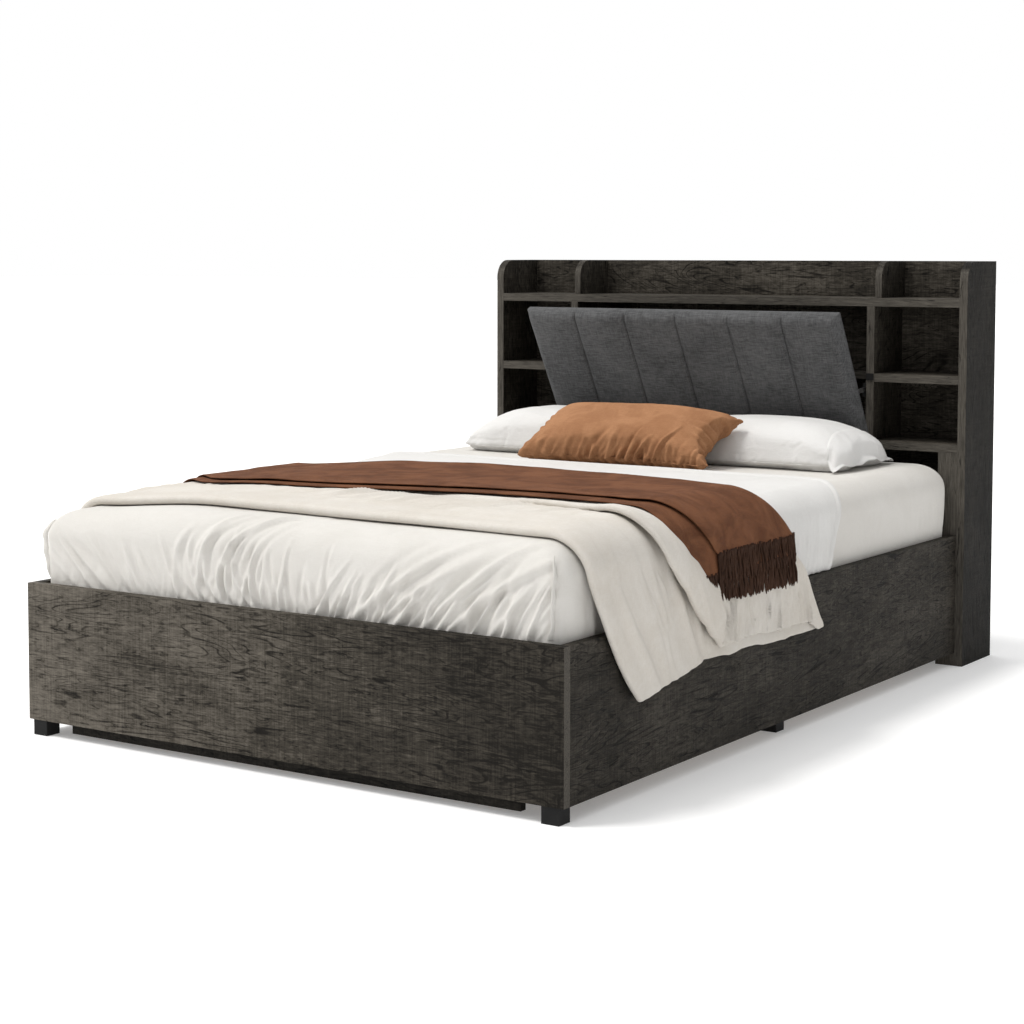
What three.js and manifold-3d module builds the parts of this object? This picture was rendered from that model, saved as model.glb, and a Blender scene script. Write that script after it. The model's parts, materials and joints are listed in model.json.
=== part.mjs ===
// Bed with a storage headboard: a boxed platform base on block feet, a bookcase headboard whose padded
// panel tilts out, and the made-up mattress with its pillows, quilt, blanket and throw.
// Millimetres. +Z is up, the headboard is at +Y and the foot of the bed is at -Y.
// The origin is on the floor, under the middle of the whole bed.
import * as THREE from "three";
import { mergeVertices } from "three/addons/utils/BufferGeometryUtils.js";
import Module from "manifold-3d";

const wasm = await Module();
wasm.setup();

// Mattress, and the room it has inside the base
const mattressWidth = 1372;
const mattressLength = 1905;
const mattressThickness = 250;
const mattressSideGap = 4;
const mattressEndGap = 4;

// Boards, and the gap between faces that touch
const boardThickness = 22;
const backThickness = 15;
const seatGap = 0.3;

// Base box
const footHeight = 35;
const railHeight = 310;
const deckRise = 250;

// Headboard heights, each one counted from the piece below it
const lowerShelfRise = 49;
const lowerBayHeight = 157;
const upperBayHeight = 179;
const galleryHeight = 98;

// Headboard depth and plan
const headboardDepth = 200;
const centreBayWidth = 906;
const sideTopRound = 52;
const trayDividerThickness = 18;
const trayDividerOffset = 10;
const trayDividerSetback = 30;
const trayDividerRound = 46;
const centreShelfSetback = 100;
const postWidth = 52;

// Slatted deck
const slatCount = 10;
const slatWidth = 90;
const slatThickness = 12;
const ledgeWidth = 25;
const ledgeHeight = 25;
const beamWidth = 40;
const beamHeight = 60;
const legWidth = 40;
const legInset = 50;

// Feet and plinth under the footboard
const footWidth = 40;
const footInset = 12;
const footSetback = 2;
const plinthInset = 112;
const plinthThickness = 18;
const plinthFloorGap = 10;

// Corner brackets
const bracketLeg = 60;
const bracketThickness = 3;
const bracketHeight = 110;
const bracketRise = 70;

// Tilt-out panel, its hinge and its two stays
const panelOpenDegrees = 30;
const panelRise = 25;
const panelBoardThickness = 12;
const padThickness = 24;
const padEdgeThickness = 6;
const padRound = 40;
const padChannelCount = 6;
const padChannelDipShare = 0.3;
const padColumnsPerChannel = 5;
const padRows = 9;
const leafThickness = 1.5;
const leafGap = 0.6;
const leafHeight = 18;
const barrelRadius = 3;
const barrelBoreRadius = 1.7;
const pinRadius = 1.5;
const barrelGap = 0.6;
const knuckleCount = 5;
const knuckleGap = 0.6;
const hingeEndInset = 35;
const stayRadius = 160;
const stayWidth = 12;
const stayThickness = 3;
const stayInset = 6;
const stayHeadRadius = 10;
const stayFootLength = 40;
const stayFootWidth = 18;
const guideSetback = 6;
const guideDepth = 14;
const guideWidth = 12;
const guideHeight = 36;
const guideSlotGap = 0.7;
const catchWidth = 20;
const catchHeight = 18;
const catchThickness = 3;

// Soft surfaces of the mattress
const mattressEdgeRound = 70;
const mattressBaseRound = 25;
const mattressCornerRound = 34;
const sheetBulge = 6;
const baseRoundShare = 0.3;

// Quilt, blanket and throw, from the mattress outwards
const clothGap = 0.6;
const quiltThickness = 8;
const blanketThickness = 22;
const blanketHangThickness = 14;
const blanketDrop = 337;
const blanketFoldDepth = 16;
const blanketFoldCount = 4;
const railClearance = 1.5;
const throwThickness = 10;
const throwDrop = 180;

// Pillows; the lumbar pillow settles back into the hollow that the other two leave
const pillowWidth = 600;
const pillowDepth = 360;
const pillowHeight = 118;
const pillowEndGap = 85;
const pillowUnderShare = 0.12;
const lumbarWidth = 565;
const lumbarDepth = 240;
const lumbarHeight = 115;
const lumbarTiltDegrees = 28;
const lumbarTurnDegrees = 0;
const lumbarUnderShare = 0.4;
const lumbarShift = 12;
const lumbarSettle = 39.5;
const seamThickness = 4;

// Overrun of every cut and join past the faces it meets
const overrun = 1;

// Segments of round outlines
const cornerSegments = 8;
const arcSegments = 24;
const barrelSegments = 10;

// Places along X, as half widths
const innerHalf = mattressWidth / 2 + mattressSideGap;
const baseHalf = innerHalf + boardThickness;
const headboardHalf = baseHalf + boardThickness;
const bayHalf = centreBayWidth / 2;
const dividerHalf = bayHalf + boardThickness;

// Places along Y
const bedLength = boardThickness + mattressLength + 2 * mattressEndGap;
const footY = -(bedLength + headboardDepth) / 2;
const headY = footY + bedLength;
const backY = headY + headboardDepth;
const footInnerY = footY + boardThickness + seatGap;
const shelfBackY = backY - backThickness - seatGap;
const mattressFootY = footY + boardThickness + mattressEndGap;
const mattressMidY = mattressFootY + mattressLength / 2;

// Places along Z
const railTop = footHeight + railHeight;
const deckTop = footHeight + deckRise;
const mattressTop = deckTop + seatGap + mattressThickness;
const lowerShelfTop = deckTop + mattressThickness + lowerShelfRise;
const middleShelfTop = lowerShelfTop + lowerBayHeight + boardThickness;
const topShelfTop = middleShelfTop + upperBayHeight + boardThickness;
const headboardTop = topShelfTop + galleryHeight;
const beamTop = deckTop - slatThickness - seatGap;
const beamBottom = beamTop - beamHeight;
const crossBeamTop = beamBottom - seatGap;
const crossBeamBottom = crossBeamTop - beamHeight;

// Pivot of the panel, just under the front edge of the lower shelf
const axisToShelf = leafGap / 2 + leafThickness + seatGap;
const leafStart = barrelRadius + barrelGap;
const axisY = headY - axisToShelf;
const axisZ = lowerShelfTop - boardThickness - leafStart;
const panelHeight = topShelfTop + panelRise - axisZ - leafStart;
const panelOpenAngle = THREE.MathUtils.degToRad(panelOpenDegrees);

const laminate = { color: 0x45423f, roughness: 0.62, metalness: 0 };
const softwood = { color: 0xc9a877, roughness: 0.7, metalness: 0 };
const blackPlastic = { color: 0x141414, roughness: 0.5, metalness: 0 };
const steel = { color: 0x8d8f92, roughness: 0.35, metalness: 1 };
const linen = { color: 0x3c3f42, roughness: 0.95, metalness: 0 };
const whiteCotton = { color: 0xf0eeea, roughness: 0.9, metalness: 0 };
const creamCotton = { color: 0xd8cdbb, roughness: 0.9, metalness: 0 };
const rustWool = { color: 0x7c4a2e, roughness: 0.95, metalness: 0 };
const rustCotton = { color: 0xa0643c, roughness: 0.85, metalness: 0 };

const bed = new THREE.Group();
const sides = [["left", -1], ["right", 1]];

// Turns an outline drawn in Y and Z, extruded along its own Z, so that it runs along X
const alongX = new THREE.Matrix4().makeBasis(
  new THREE.Vector3(0, 1, 0),
  new THREE.Vector3(0, 0, 1),
  new THREE.Vector3(1, 0, 0),
);

function addMesh(parent, name, geometry, look) {
  const mesh = new THREE.Mesh(geometry, new THREE.MeshStandardMaterial(look));
  mesh.name = name;
  parent.add(mesh);
  return mesh;
}

// A block between two limits along each axis
function blockGeometry(x, y, z) {
  const geometry = new THREE.BoxGeometry(x[1] - x[0], y[1] - y[0], z[1] - z[0]);
  geometry.translate((x[0] + x[1]) / 2, (y[0] + y[1]) / 2, (z[0] + z[1]) / 2);
  return geometry;
}

function addBlock(parent, name, look, x, y, z) {
  return addMesh(parent, name, blockGeometry(x, y, z), look);
}

// Limits along X of a piece that lies between two half widths on one side of the bed
function sideSpan(side, inner, outer) {
  return side > 0 ? [inner, outer] : [-outer, -inner];
}

// An outline in Y and Z, made as thick along X as the given limits
function profileGeometry(shape, x, curveSegments) {
  const settings = { depth: x[1] - x[0], bevelEnabled: false, curveSegments };
  const geometry = new THREE.ExtrudeGeometry(shape, settings);
  geometry.applyMatrix4(alongX);
  geometry.translate(x[0], 0, 0);
  return geometry;
}

// An upright panel whose top corner towards the foot of the bed is rounded
function roundedPanelShape(y, z, radius) {
  const shape = new THREE.Shape();
  shape.moveTo(y[0], z[0]);
  shape.lineTo(y[1], z[0]);
  shape.lineTo(y[1], z[1]);
  shape.lineTo(y[0] + radius, z[1]);
  shape.absarc(y[0] + radius, z[1] - radius, radius, Math.PI / 2, Math.PI, false);
  shape.closePath();
  return shape;
}

function solidOf(geometry) {
  const bare = geometry.clone();
  bare.deleteAttribute("normal");
  bare.deleteAttribute("uv");
  const merged = mergeVertices(bare);
  const vertProperties = new Float32Array(merged.attributes.position.array);
  const triVerts = new Uint32Array(merged.index.array);
  return new wasm.Manifold(new wasm.Mesh({ numProp: 3, vertProperties, triVerts }));
}

function geometryOf(solid) {
  const mesh = solid.getMesh();
  const geometry = new THREE.BufferGeometry();
  geometry.setAttribute("position", new THREE.BufferAttribute(new Float32Array(mesh.vertProperties), 3));
  geometry.setIndex(new THREE.BufferAttribute(new Uint32Array(mesh.triVerts), 1));
  geometry.computeVertexNormals();
  return geometry;
}

function joined(geometries) {
  const solids = geometries.map(solidOf);
  return geometryOf(solids.reduce((whole, piece) => whole.add(piece)));
}

// A closed sheet between an outer and an inner grid of points, each given by its two shares
function sheetGeometry(columns, rows, outerPoint, innerPoint) {
  const positions = [];
  const indices = [];
  const layerSize = (columns + 1) * (rows + 1);
  const outer = (i, j) => i * (rows + 1) + j;
  const inner = (i, j) => layerSize + outer(i, j);
  const addQuad = (a, b, c, d) => indices.push(a, b, c, a, c, d);
  for (const point of [outerPoint, innerPoint]) {
    for (let i = 0; i <= columns; i += 1) {
      for (let j = 0; j <= rows; j += 1) {
        positions.push(...point(i / columns, j / rows));
      }
    }
  }
  for (let i = 0; i < columns; i += 1) {
    addQuad(outer(i, 0), inner(i, 0), inner(i + 1, 0), outer(i + 1, 0));
    addQuad(outer(i, rows), outer(i + 1, rows), inner(i + 1, rows), inner(i, rows));
    for (let j = 0; j < rows; j += 1) {
      addQuad(outer(i, j), outer(i + 1, j), outer(i + 1, j + 1), outer(i, j + 1));
      addQuad(inner(i, j), inner(i, j + 1), inner(i + 1, j + 1), inner(i + 1, j));
    }
  }
  for (let j = 0; j < rows; j += 1) {
    addQuad(outer(0, j), outer(0, j + 1), inner(0, j + 1), inner(0, j));
    addQuad(outer(columns, j), inner(columns, j), inner(columns, j + 1), outer(columns, j + 1));
  }
  return indexedGeometry(positions, indices);
}

function indexedGeometry(positions, indices) {
  const geometry = new THREE.BufferGeometry();
  geometry.setAttribute("position", new THREE.Float32BufferAttribute(positions, 3));
  geometry.setIndex(indices);
  geometry.computeVertexNormals();
  return geometry;
}

// Base box: footboard, side rails and the board at the head end
function addBaseBoards() {
  const boardY = [footY, footY + boardThickness];
  addBlock(bed, "footboard", laminate, [-baseHalf, baseHalf], boardY, [footHeight, railTop]);
  const railY = [footInnerY, headY - seatGap];
  for (const [label, side] of sides) {
    const railX = sideSpan(side, innerHalf, baseHalf);
    addBlock(bed, `side_rail_${label}`, laminate, railX, railY, [footHeight, railTop]);
  }
  const headX = [seatGap - innerHalf, innerHalf - seatGap];
  const headBoardY = [headY - seatGap - boardThickness, headY - seatGap];
  addBlock(bed, "head_end_board", laminate, headX, headBoardY, [footHeight, beamBottom - seatGap]);
}

// Block feet at the foot corners, and the set-back plinth that the footboard stands in front of
function addFeetAndPlinth() {
  const footYSpan = [footY + footSetback, footY + footSetback + footWidth];
  for (const [label, side] of sides) {
    const footX = sideSpan(side, baseHalf - footInset - footWidth, baseHalf - footInset);
    addBlock(bed, `front_foot_${label}`, blackPlastic, footX, footYSpan, [0, footHeight - seatGap]);
  }
  const plinthHalf = baseHalf - plinthInset;
  const plinthY = [footInnerY, footInnerY + plinthThickness];
  const plinthZ = [plinthFloorGap, beamBottom - seatGap];
  addBlock(bed, "front_plinth_board", laminate, [-plinthHalf, plinthHalf], plinthY, plinthZ);
}

// Beams and legs that carry the slats at the middle of the bed
function addBeams() {
  const beamY = [footInnerY + seatGap, headY - seatGap * 2];
  addBlock(bed, "centre_beam", softwood, [-beamWidth / 2, beamWidth / 2], beamY, [beamBottom, beamTop]);
  const crossHalf = innerHalf - seatGap;
  const crossY = [mattressMidY - beamWidth / 2, mattressMidY + beamWidth / 2];
  addBlock(bed, "cross_beam", softwood, [-crossHalf, crossHalf], crossY, [crossBeamBottom, crossBeamTop]);
  const legZ = [0, crossBeamBottom - seatGap];
  addBlock(bed, "centre_leg", blackPlastic, [-legWidth / 2, legWidth / 2], crossY, legZ);
  for (const [label, side] of sides) {
    const legX = sideSpan(side, innerHalf - legInset, innerHalf - legInset + legWidth);
    addBlock(bed, `middle_leg_${label}`, blackPlastic, legX, crossY, legZ);
  }
}

// Ledges along the rails, and the slats across them
function addSlats() {
  const ledgeY = [footInnerY + seatGap, headY - seatGap * 2];
  for (const [label, side] of sides) {
    const ledgeX = sideSpan(side, innerHalf - seatGap - ledgeWidth, innerHalf - seatGap);
    addBlock(bed, `slat_ledge_${label}`, softwood, ledgeX, ledgeY, [beamTop - ledgeHeight, beamTop]);
  }
  const slatHalf = innerHalf - seatGap * 2;
  const firstY = footInnerY + mattressEndGap;
  const lastY = headY - mattressEndGap - slatWidth;
  for (let index = 0; index < slatCount; index += 1) {
    const slatY = firstY + ((lastY - firstY) * index) / (slatCount - 1);
    const name = `slat_${String(index + 1).padStart(2, "0")}`;
    const slatZ = [deckTop - slatThickness, deckTop];
    addBlock(bed, name, softwood, [-slatHalf, slatHalf], [slatY, slatY + slatWidth], slatZ);
  }
}

// Steel angle at each inside corner of the base; it opens towards the middle of the bed
function cornerBracketGeometry(side, towards, cornerY) {
  const outerX = innerHalf - seatGap;
  const railX = sideSpan(side, outerX - bracketThickness, outerX);
  const boardX = sideSpan(side, outerX - bracketLeg, outerX);
  const near = cornerY + towards * seatGap;
  const thick = near + towards * bracketThickness;
  const far = near + towards * bracketLeg;
  const z = [footHeight + bracketRise, footHeight + bracketRise + bracketHeight];
  const boardLeg = blockGeometry(boardX, [Math.min(near, thick), Math.max(near, thick)], z);
  const railLeg = blockGeometry(railX, [Math.min(near, far), Math.max(near, far)], z);
  return joined([boardLeg, railLeg]);
}

function addCornerBrackets() {
  const headCornerY = headY - seatGap - boardThickness;
  for (const [label, side] of sides) {
    const footGeometry = cornerBracketGeometry(side, 1, footY + boardThickness);
    addMesh(bed, `foot_corner_bracket_${label}`, footGeometry, steel);
    addMesh(bed, `head_corner_bracket_${label}`, cornerBracketGeometry(side, -1, headCornerY), steel);
  }
}

// Bookcase headboard: sides, back, posts that the rails bolt to, shelves and dividers
function addHeadboardCase() {
  const sideShape = roundedPanelShape([headY, backY], [0, headboardTop], sideTopRound);
  const shelfHalf = baseHalf - seatGap;
  const backX = [-shelfHalf, shelfHalf];
  for (const [label, side] of sides) {
    const geometry = profileGeometry(sideShape, sideSpan(side, baseHalf, headboardHalf), cornerSegments);
    addMesh(bed, `headboard_side_${label}`, geometry, laminate);
    const postX = sideSpan(side, shelfHalf - postWidth, shelfHalf);
    const postZ = [0, lowerShelfTop - boardThickness - seatGap];
    addBlock(bed, `front_post_${label}`, laminate, postX, [headY, headY + boardThickness], postZ);
  }
  const backYSpan = [backY - backThickness, backY];
  addBlock(bed, "headboard_back", laminate, backX, backYSpan, [footHeight, headboardTop]);
  addShelf("lower_shelf", backX, headY, lowerShelfTop);
  addShelf("top_shelf", backX, headY, topShelfTop);
}

function addShelf(name, x, frontY, top) {
  addBlock(bed, name, laminate, x, [frontY, shelfBackY], [top - boardThickness, top]);
}

function addHeadboardBays() {
  const dividerZ = [lowerShelfTop + seatGap, topShelfTop - boardThickness - seatGap];
  const trayHalf = bayHalf + trayDividerOffset;
  const trayY = [headY + trayDividerSetback, shelfBackY];
  const trayShape = roundedPanelShape(trayY, [topShelfTop + seatGap, headboardTop], trayDividerRound);
  for (const [label, side] of sides) {
    const dividerX = sideSpan(side, bayHalf, dividerHalf);
    addBlock(bed, `divider_${label}`, laminate, dividerX, [headY, shelfBackY], dividerZ);
    const trayX = sideSpan(side, trayHalf, trayHalf + trayDividerThickness);
    addMesh(bed, `tray_divider_${label}`, profileGeometry(trayShape, trayX, cornerSegments), laminate);
    const shelfX = sideSpan(side, dividerHalf + seatGap, baseHalf - seatGap);
    addShelf(`middle_shelf_${label}`, shelfX, headY, middleShelfTop);
  }
  const centreX = [seatGap - bayHalf, bayHalf - seatGap];
  addShelf("middle_shelf_centre", centreX, headY + centreShelfSetback, middleShelfTop);
}

// Small black catch plate on the front edge of each divider, level with the middle shelves
function addCatches() {
  const middle = bayHalf + boardThickness / 2;
  const catchY = [headY - seatGap - catchThickness, headY - seatGap];
  const catchZ = [middleShelfTop - catchHeight, middleShelfTop];
  for (const [label, side] of sides) {
    const catchX = sideSpan(side, middle - catchWidth / 2, middle + catchWidth / 2);
    addBlock(bed, `catch_${label}`, blackPlastic, catchX, catchY, catchZ);
  }
}

// An arc-shaped bar in the Y and Z plane round the pivot; its angles run from +Z towards +Y
function arcBarShape(width, fromAngle, toAngle) {
  const from = Math.PI / 2 - fromAngle;
  const to = Math.PI / 2 - toAngle;
  const shape = new THREE.Shape();
  shape.absarc(0, 0, stayRadius + width / 2, from, to, true);
  shape.absarc(0, 0, stayRadius - width / 2, to, from, false);
  shape.closePath();
  return shape;
}

// Where a stay's head stops against the back of its guide, seen from the pivot
const guideFront = axisToShelf + guideSetback;
const guideBack = guideFront + guideDepth;
const stayRestAngle = Math.asin((guideBack + stayHeadRadius + seatGap) / stayRadius);
const stayEndAngle = stayRestAngle + panelOpenAngle;
const stayMiddleX = bayHalf - stayInset;

// Guide on the inner face of a divider: a block with a curved slot that the stay slides through
function guideGeometry(side) {
  const middleZ = Math.sqrt(stayRadius ** 2 - ((guideFront + guideBack) / 2) ** 2);
  const guideX = sideSpan(side, bayHalf - seatGap - guideWidth, bayHalf - seatGap);
  const guideZ = [middleZ - guideHeight / 2, middleZ + guideHeight / 2];
  const block = blockGeometry(guideX, [guideFront, guideBack], guideZ);
  const slotHalf = stayThickness / 2 + guideSlotGap;
  const slotX = sideSpan(side, stayMiddleX - slotHalf, stayMiddleX + slotHalf);
  const slotShape = arcBarShape(stayWidth + 2 * guideSlotGap, 0, stayEndAngle);
  const slot = profileGeometry(slotShape, slotX, arcSegments);
  const geometry = geometryOf(solidOf(block).subtract(solidOf(slot)));
  geometry.translate(0, axisY, axisZ);
  return geometry;
}

// Stay: a foot plate on the panel, an arc-shaped bar and a round head, in the closed position
function stayGeometry(side) {
  const barX = sideSpan(side, stayMiddleX - stayThickness / 2, stayMiddleX + stayThickness / 2);
  const bar = profileGeometry(arcBarShape(stayWidth, 0, stayEndAngle), barX, arcSegments);
  const headShape = new THREE.Shape();
  const headY0 = stayRadius * Math.sin(stayEndAngle);
  const headZ0 = stayRadius * Math.cos(stayEndAngle);
  headShape.absarc(headY0, headZ0, stayHeadRadius, 0, 2 * Math.PI, false);
  const head = profileGeometry(headShape, barX, barrelSegments);
  const footX = sideSpan(side, stayMiddleX - stayFootWidth, stayMiddleX + stayThickness / 2);
  const footPlateY = [seatGap - axisToShelf, seatGap - axisToShelf + leafThickness];
  const footZ = [stayRadius - stayFootLength / 2, stayRadius + stayFootLength / 2];
  const foot = blockGeometry(footX, footPlateY, footZ);
  const rootY = [footPlateY[0], overrun];
  const rootZ = [stayRadius - stayWidth / 2, stayRadius + stayWidth / 2];
  const root = blockGeometry(barX, rootY, rootZ);
  return joined([foot, root, bar, head]);
}

// One leaf of the long hinge; face is +1 for the leaf on the shelf and -1 for the one on the panel
function hingeLeafGeometry(face, firstKnuckle) {
  const half = dividerHalf - hingeEndInset;
  const pitch = (2 * half) / knuckleCount;
  const inner = (face * leafGap) / 2;
  const outer = inner + face * leafThickness;
  const leafY = [Math.min(inner, outer), Math.max(inner, outer)];
  const pieces = [blockGeometry([-half, half], leafY, [leafStart, leafStart + leafHeight])];
  const ring = new THREE.Shape();
  ring.absarc(0, 0, barrelRadius, 0, 2 * Math.PI, false);
  const bore = new THREE.Path();
  bore.absarc(0, 0, barrelBoreRadius, 0, 2 * Math.PI, true);
  ring.holes.push(bore);
  const tabZ = [(barrelRadius + barrelBoreRadius) / 2, leafStart + overrun];
  for (let index = firstKnuckle; index < knuckleCount; index += 2) {
    const start = pitch * index - half + knuckleGap / 2;
    const knuckleX = [start, start + pitch - knuckleGap];
    pieces.push(profileGeometry(ring, knuckleX, barrelSegments));
    pieces.push(blockGeometry(knuckleX, leafY, tabZ));
  }
  return joined(pieces);
}

function hingePinGeometry() {
  const half = dividerHalf - hingeEndInset;
  const geometry = new THREE.CylinderGeometry(pinRadius, pinRadius, 2 * half, 2 * barrelSegments);
  geometry.rotateZ(Math.PI / 2);
  return geometry;
}

// Pad with upright channels: thick between the seams, thin at the seams and at its rounded rim
function padGeometry() {
  const backOffset = axisToShelf + panelBoardThickness + seatGap;
  const rise = (distance) => {
    const share = Math.min(distance / padRound, 1);
    return Math.sqrt(share * (2 - share));
  };
  const place = (u, v) => [dividerHalf * (2 * u - 1), leafStart + panelHeight * v];
  const front = (u, v) => {
    const [x, z] = place(u, v);
    const seam = Math.sqrt(Math.abs(Math.sin(Math.PI * padChannelCount * u)));
    const channel = 1 - padChannelDipShare * (1 - seam);
    const edge = rise(dividerHalf - Math.abs(x)) * rise(Math.min(z - leafStart, panelHeight * (1 - v)));
    return [x, -backOffset - padEdgeThickness - (padThickness - padEdgeThickness) * edge * channel, z];
  };
  const back = (u, v) => {
    const [x, z] = place(u, v);
    return [x, -backOffset, z];
  };
  return sheetGeometry(padChannelCount * padColumnsPerChannel, padRows, front, back);
}

function addTiltPanel() {
  const panel = new THREE.Group();
  panel.position.set(0, axisY, axisZ);
  panel.rotation.x = panelOpenAngle;
  bed.add(panel);
  const boardY = [-axisToShelf - panelBoardThickness, -axisToShelf];
  const boardZ = [leafStart, leafStart + panelHeight];
  addBlock(panel, "panel_board", laminate, [-dividerHalf, dividerHalf], boardY, boardZ);
  addMesh(panel, "panel_pad", padGeometry(), linen);
  addMesh(panel, "hinge_leaf_panel", hingeLeafGeometry(-1, 1), steel);
  for (const [label, side] of sides) {
    addMesh(panel, `stay_${label}`, stayGeometry(side), steel);
    addMesh(bed, `stay_guide_${label}`, guideGeometry(side), blackPlastic);
  }
  addMesh(bed, "hinge_leaf_shelf", hingeLeafGeometry(1, 0), steel).position.set(0, axisY, axisZ);
  addMesh(bed, "hinge_pin", hingePinGeometry(), steel).position.set(0, axisY, axisZ);
}

// Outline of the mattress at one height, anticlockwise seen from above; the headboard keeps its head
// end from swelling
function mattressRing(outset, z) {
  const radius = mattressCornerRound;
  const x = mattressWidth / 2 + outset - radius;
  const footSide = mattressLength / 2 + outset - radius;
  const headSide = mattressLength / 2 + Math.min(outset, 0) - radius;
  const points = [];
  const cornerSteps = 6;
  for (let corner = 0; corner < 4; corner += 1) {
    const signX = corner === 0 || corner === 3 ? 1 : -1;
    const cornerY = mattressMidY + (corner < 2 ? headSide : -footSide);
    for (let step = 0; step <= cornerSteps; step += 1) {
      const angle = (Math.PI / 2) * (corner + step / cornerSteps);
      const pointX = signX * x + radius * Math.cos(angle);
      points.push([pointX, cornerY + radius * Math.sin(angle), z]);
    }
  }
  return points;
}

// Mattress in its fitted sheet: it swells above the rails and rolls over into a flat top
function mattressGeometry() {
  const bottom = deckTop + seatGap;
  const roundZ = mattressTop - mattressEdgeRound;
  const rings = [
    mattressRing(-mattressBaseRound, bottom),
    mattressRing(-mattressBaseRound * baseRoundShare, bottom + mattressBaseRound * baseRoundShare),
    mattressRing(0, bottom + mattressBaseRound),
    mattressRing(0, railTop),
    mattressRing(sheetBulge, (railTop + roundZ) / 2),
  ];
  const roundSteps = 4;
  for (let step = 0; step <= roundSteps; step += 1) {
    const angle = (Math.PI / 2) * (step / roundSteps);
    const outset = sheetBulge - mattressEdgeRound * (1 - Math.cos(angle));
    rings.push(mattressRing(outset, roundZ + mattressEdgeRound * Math.sin(angle)));
  }
  const count = rings[0].length;
  const positions = rings.flat(2);
  const indices = [];
  for (let level = 0; level < rings.length - 1; level += 1) {
    for (let index = 0; index < count; index += 1) {
      const next = (index + 1) % count;
      const low = level * count;
      const high = low + count;
      indices.push(low + index, low + next, high + next, low + index, high + next, high + index);
    }
  }
  const topStart = (rings.length - 1) * count;
  const bottomCentre = rings.length * count;
  positions.push(0, mattressMidY, bottom, 0, mattressMidY, mattressTop);
  for (let index = 0; index < count; index += 1) {
    const next = (index + 1) % count;
    indices.push(bottomCentre, next, index);
    indices.push(bottomCentre + 1, topStart + index, topStart + next);
  }
  return indexedGeometry(positions, indices);
}

// Cloth across the bed is laid out in columns: flat top, rounded shoulder, hanging side
const clothColumns = 28;
const flatShare = 2 / 7;
const shoulderShare = 4 / 7;
const spreadShare = 1 / 3;
const flatHalf = mattressWidth / 2 + sheetBulge - mattressEdgeRound;
const shoulderZ = mattressTop - mattressEdgeRound;

// Place in X and Z of a cloth layer at a share from the middle (0) to the hem (1) of one side
function clothSection(away, lift, sideX, hemZ) {
  const radius = mattressEdgeRound + lift;
  if (away <= flatShare) {
    return [(flatHalf * away) / flatShare, mattressTop + lift];
  }
  if (away <= shoulderShare) {
    const angle = (Math.PI / 2) * ((away - flatShare) / (shoulderShare - flatShare));
    return [flatHalf + radius * Math.sin(angle), shoulderZ + radius * Math.cos(angle)];
  }
  const down = (away - shoulderShare) / (1 - shoulderShare);
  const spread = Math.min(down / spreadShare, 1);
  const x = THREE.MathUtils.lerp(flatHalf + radius, sideX, spread);
  return [x, THREE.MathUtils.lerp(shoulderZ, hemZ, down)];
}

// Reads a table of shares at five stations: hem, shoulder, middle, shoulder, hem
const stationShares = [0, 0.29, 0.5, 0.71, 1];
function readShares(shares, stations, at) {
  let index = 0;
  while (index < stations.length - 2 && at > stations[index + 1]) {
    index += 1;
  }
  const local = (at - stations[index]) / (stations[index + 1] - stations[index]);
  const smooth = THREE.MathUtils.smoothstep(local, 0, 1);
  return THREE.MathUtils.lerp(shares[index], shares[index + 1], smooth);
}

// A cloth layer: its edges are shares of the mattress length, read from the left hem to the right
function clothGeometry(cloth) {
  const layerPoint = (isOuter) => (u, v) => {
    const side = u < 0.5 ? -1 : 1;
    const away = Math.abs(2 * u - 1);
    const foot = readShares(cloth.footShares, stationShares, u);
    const head = readShares(cloth.headShares, stationShares, u);
    const lift = cloth.lift + (isOuter ? cloth.thickness(u, v) : 0);
    const hangX = cloth.sideX + (isOuter ? cloth.hangThickness : 0);
    const sideX = Math.max(hangX, flatHalf + mattressEdgeRound + lift);
    const [x, z] = clothSection(away, lift, sideX, cloth.hemZ(v));
    const y = mattressFootY + mattressLength * THREE.MathUtils.lerp(foot, head, v);
    return [side * (x + cloth.fold(away, v)), y, z];
  };
  return sheetGeometry(clothColumns, cloth.rows, layerPoint(true), layerPoint(false));
}

const quiltLift = clothGap;
const blanketLift = quiltLift + quiltThickness + clothGap;
const throwLift = blanketLift + blanketThickness + clothGap;
const blanketSideX = baseHalf + railClearance;

// Quilt tucked down the sides of the mattress, inside the rails
function quiltGeometry() {
  return clothGeometry({
    rows: 5,
    lift: quiltLift,
    sideX: 0,
    hangThickness: 0,
    footShares: [0.145, 0.145, 0.145, 0.145, 0.145],
    headShares: [0.614, 0.65, 0.68, 0.65, 0.614],
    thickness: () => quiltThickness,
    hemZ: () => railTop + clothGap,
    fold: () => 0,
  });
}

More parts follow.
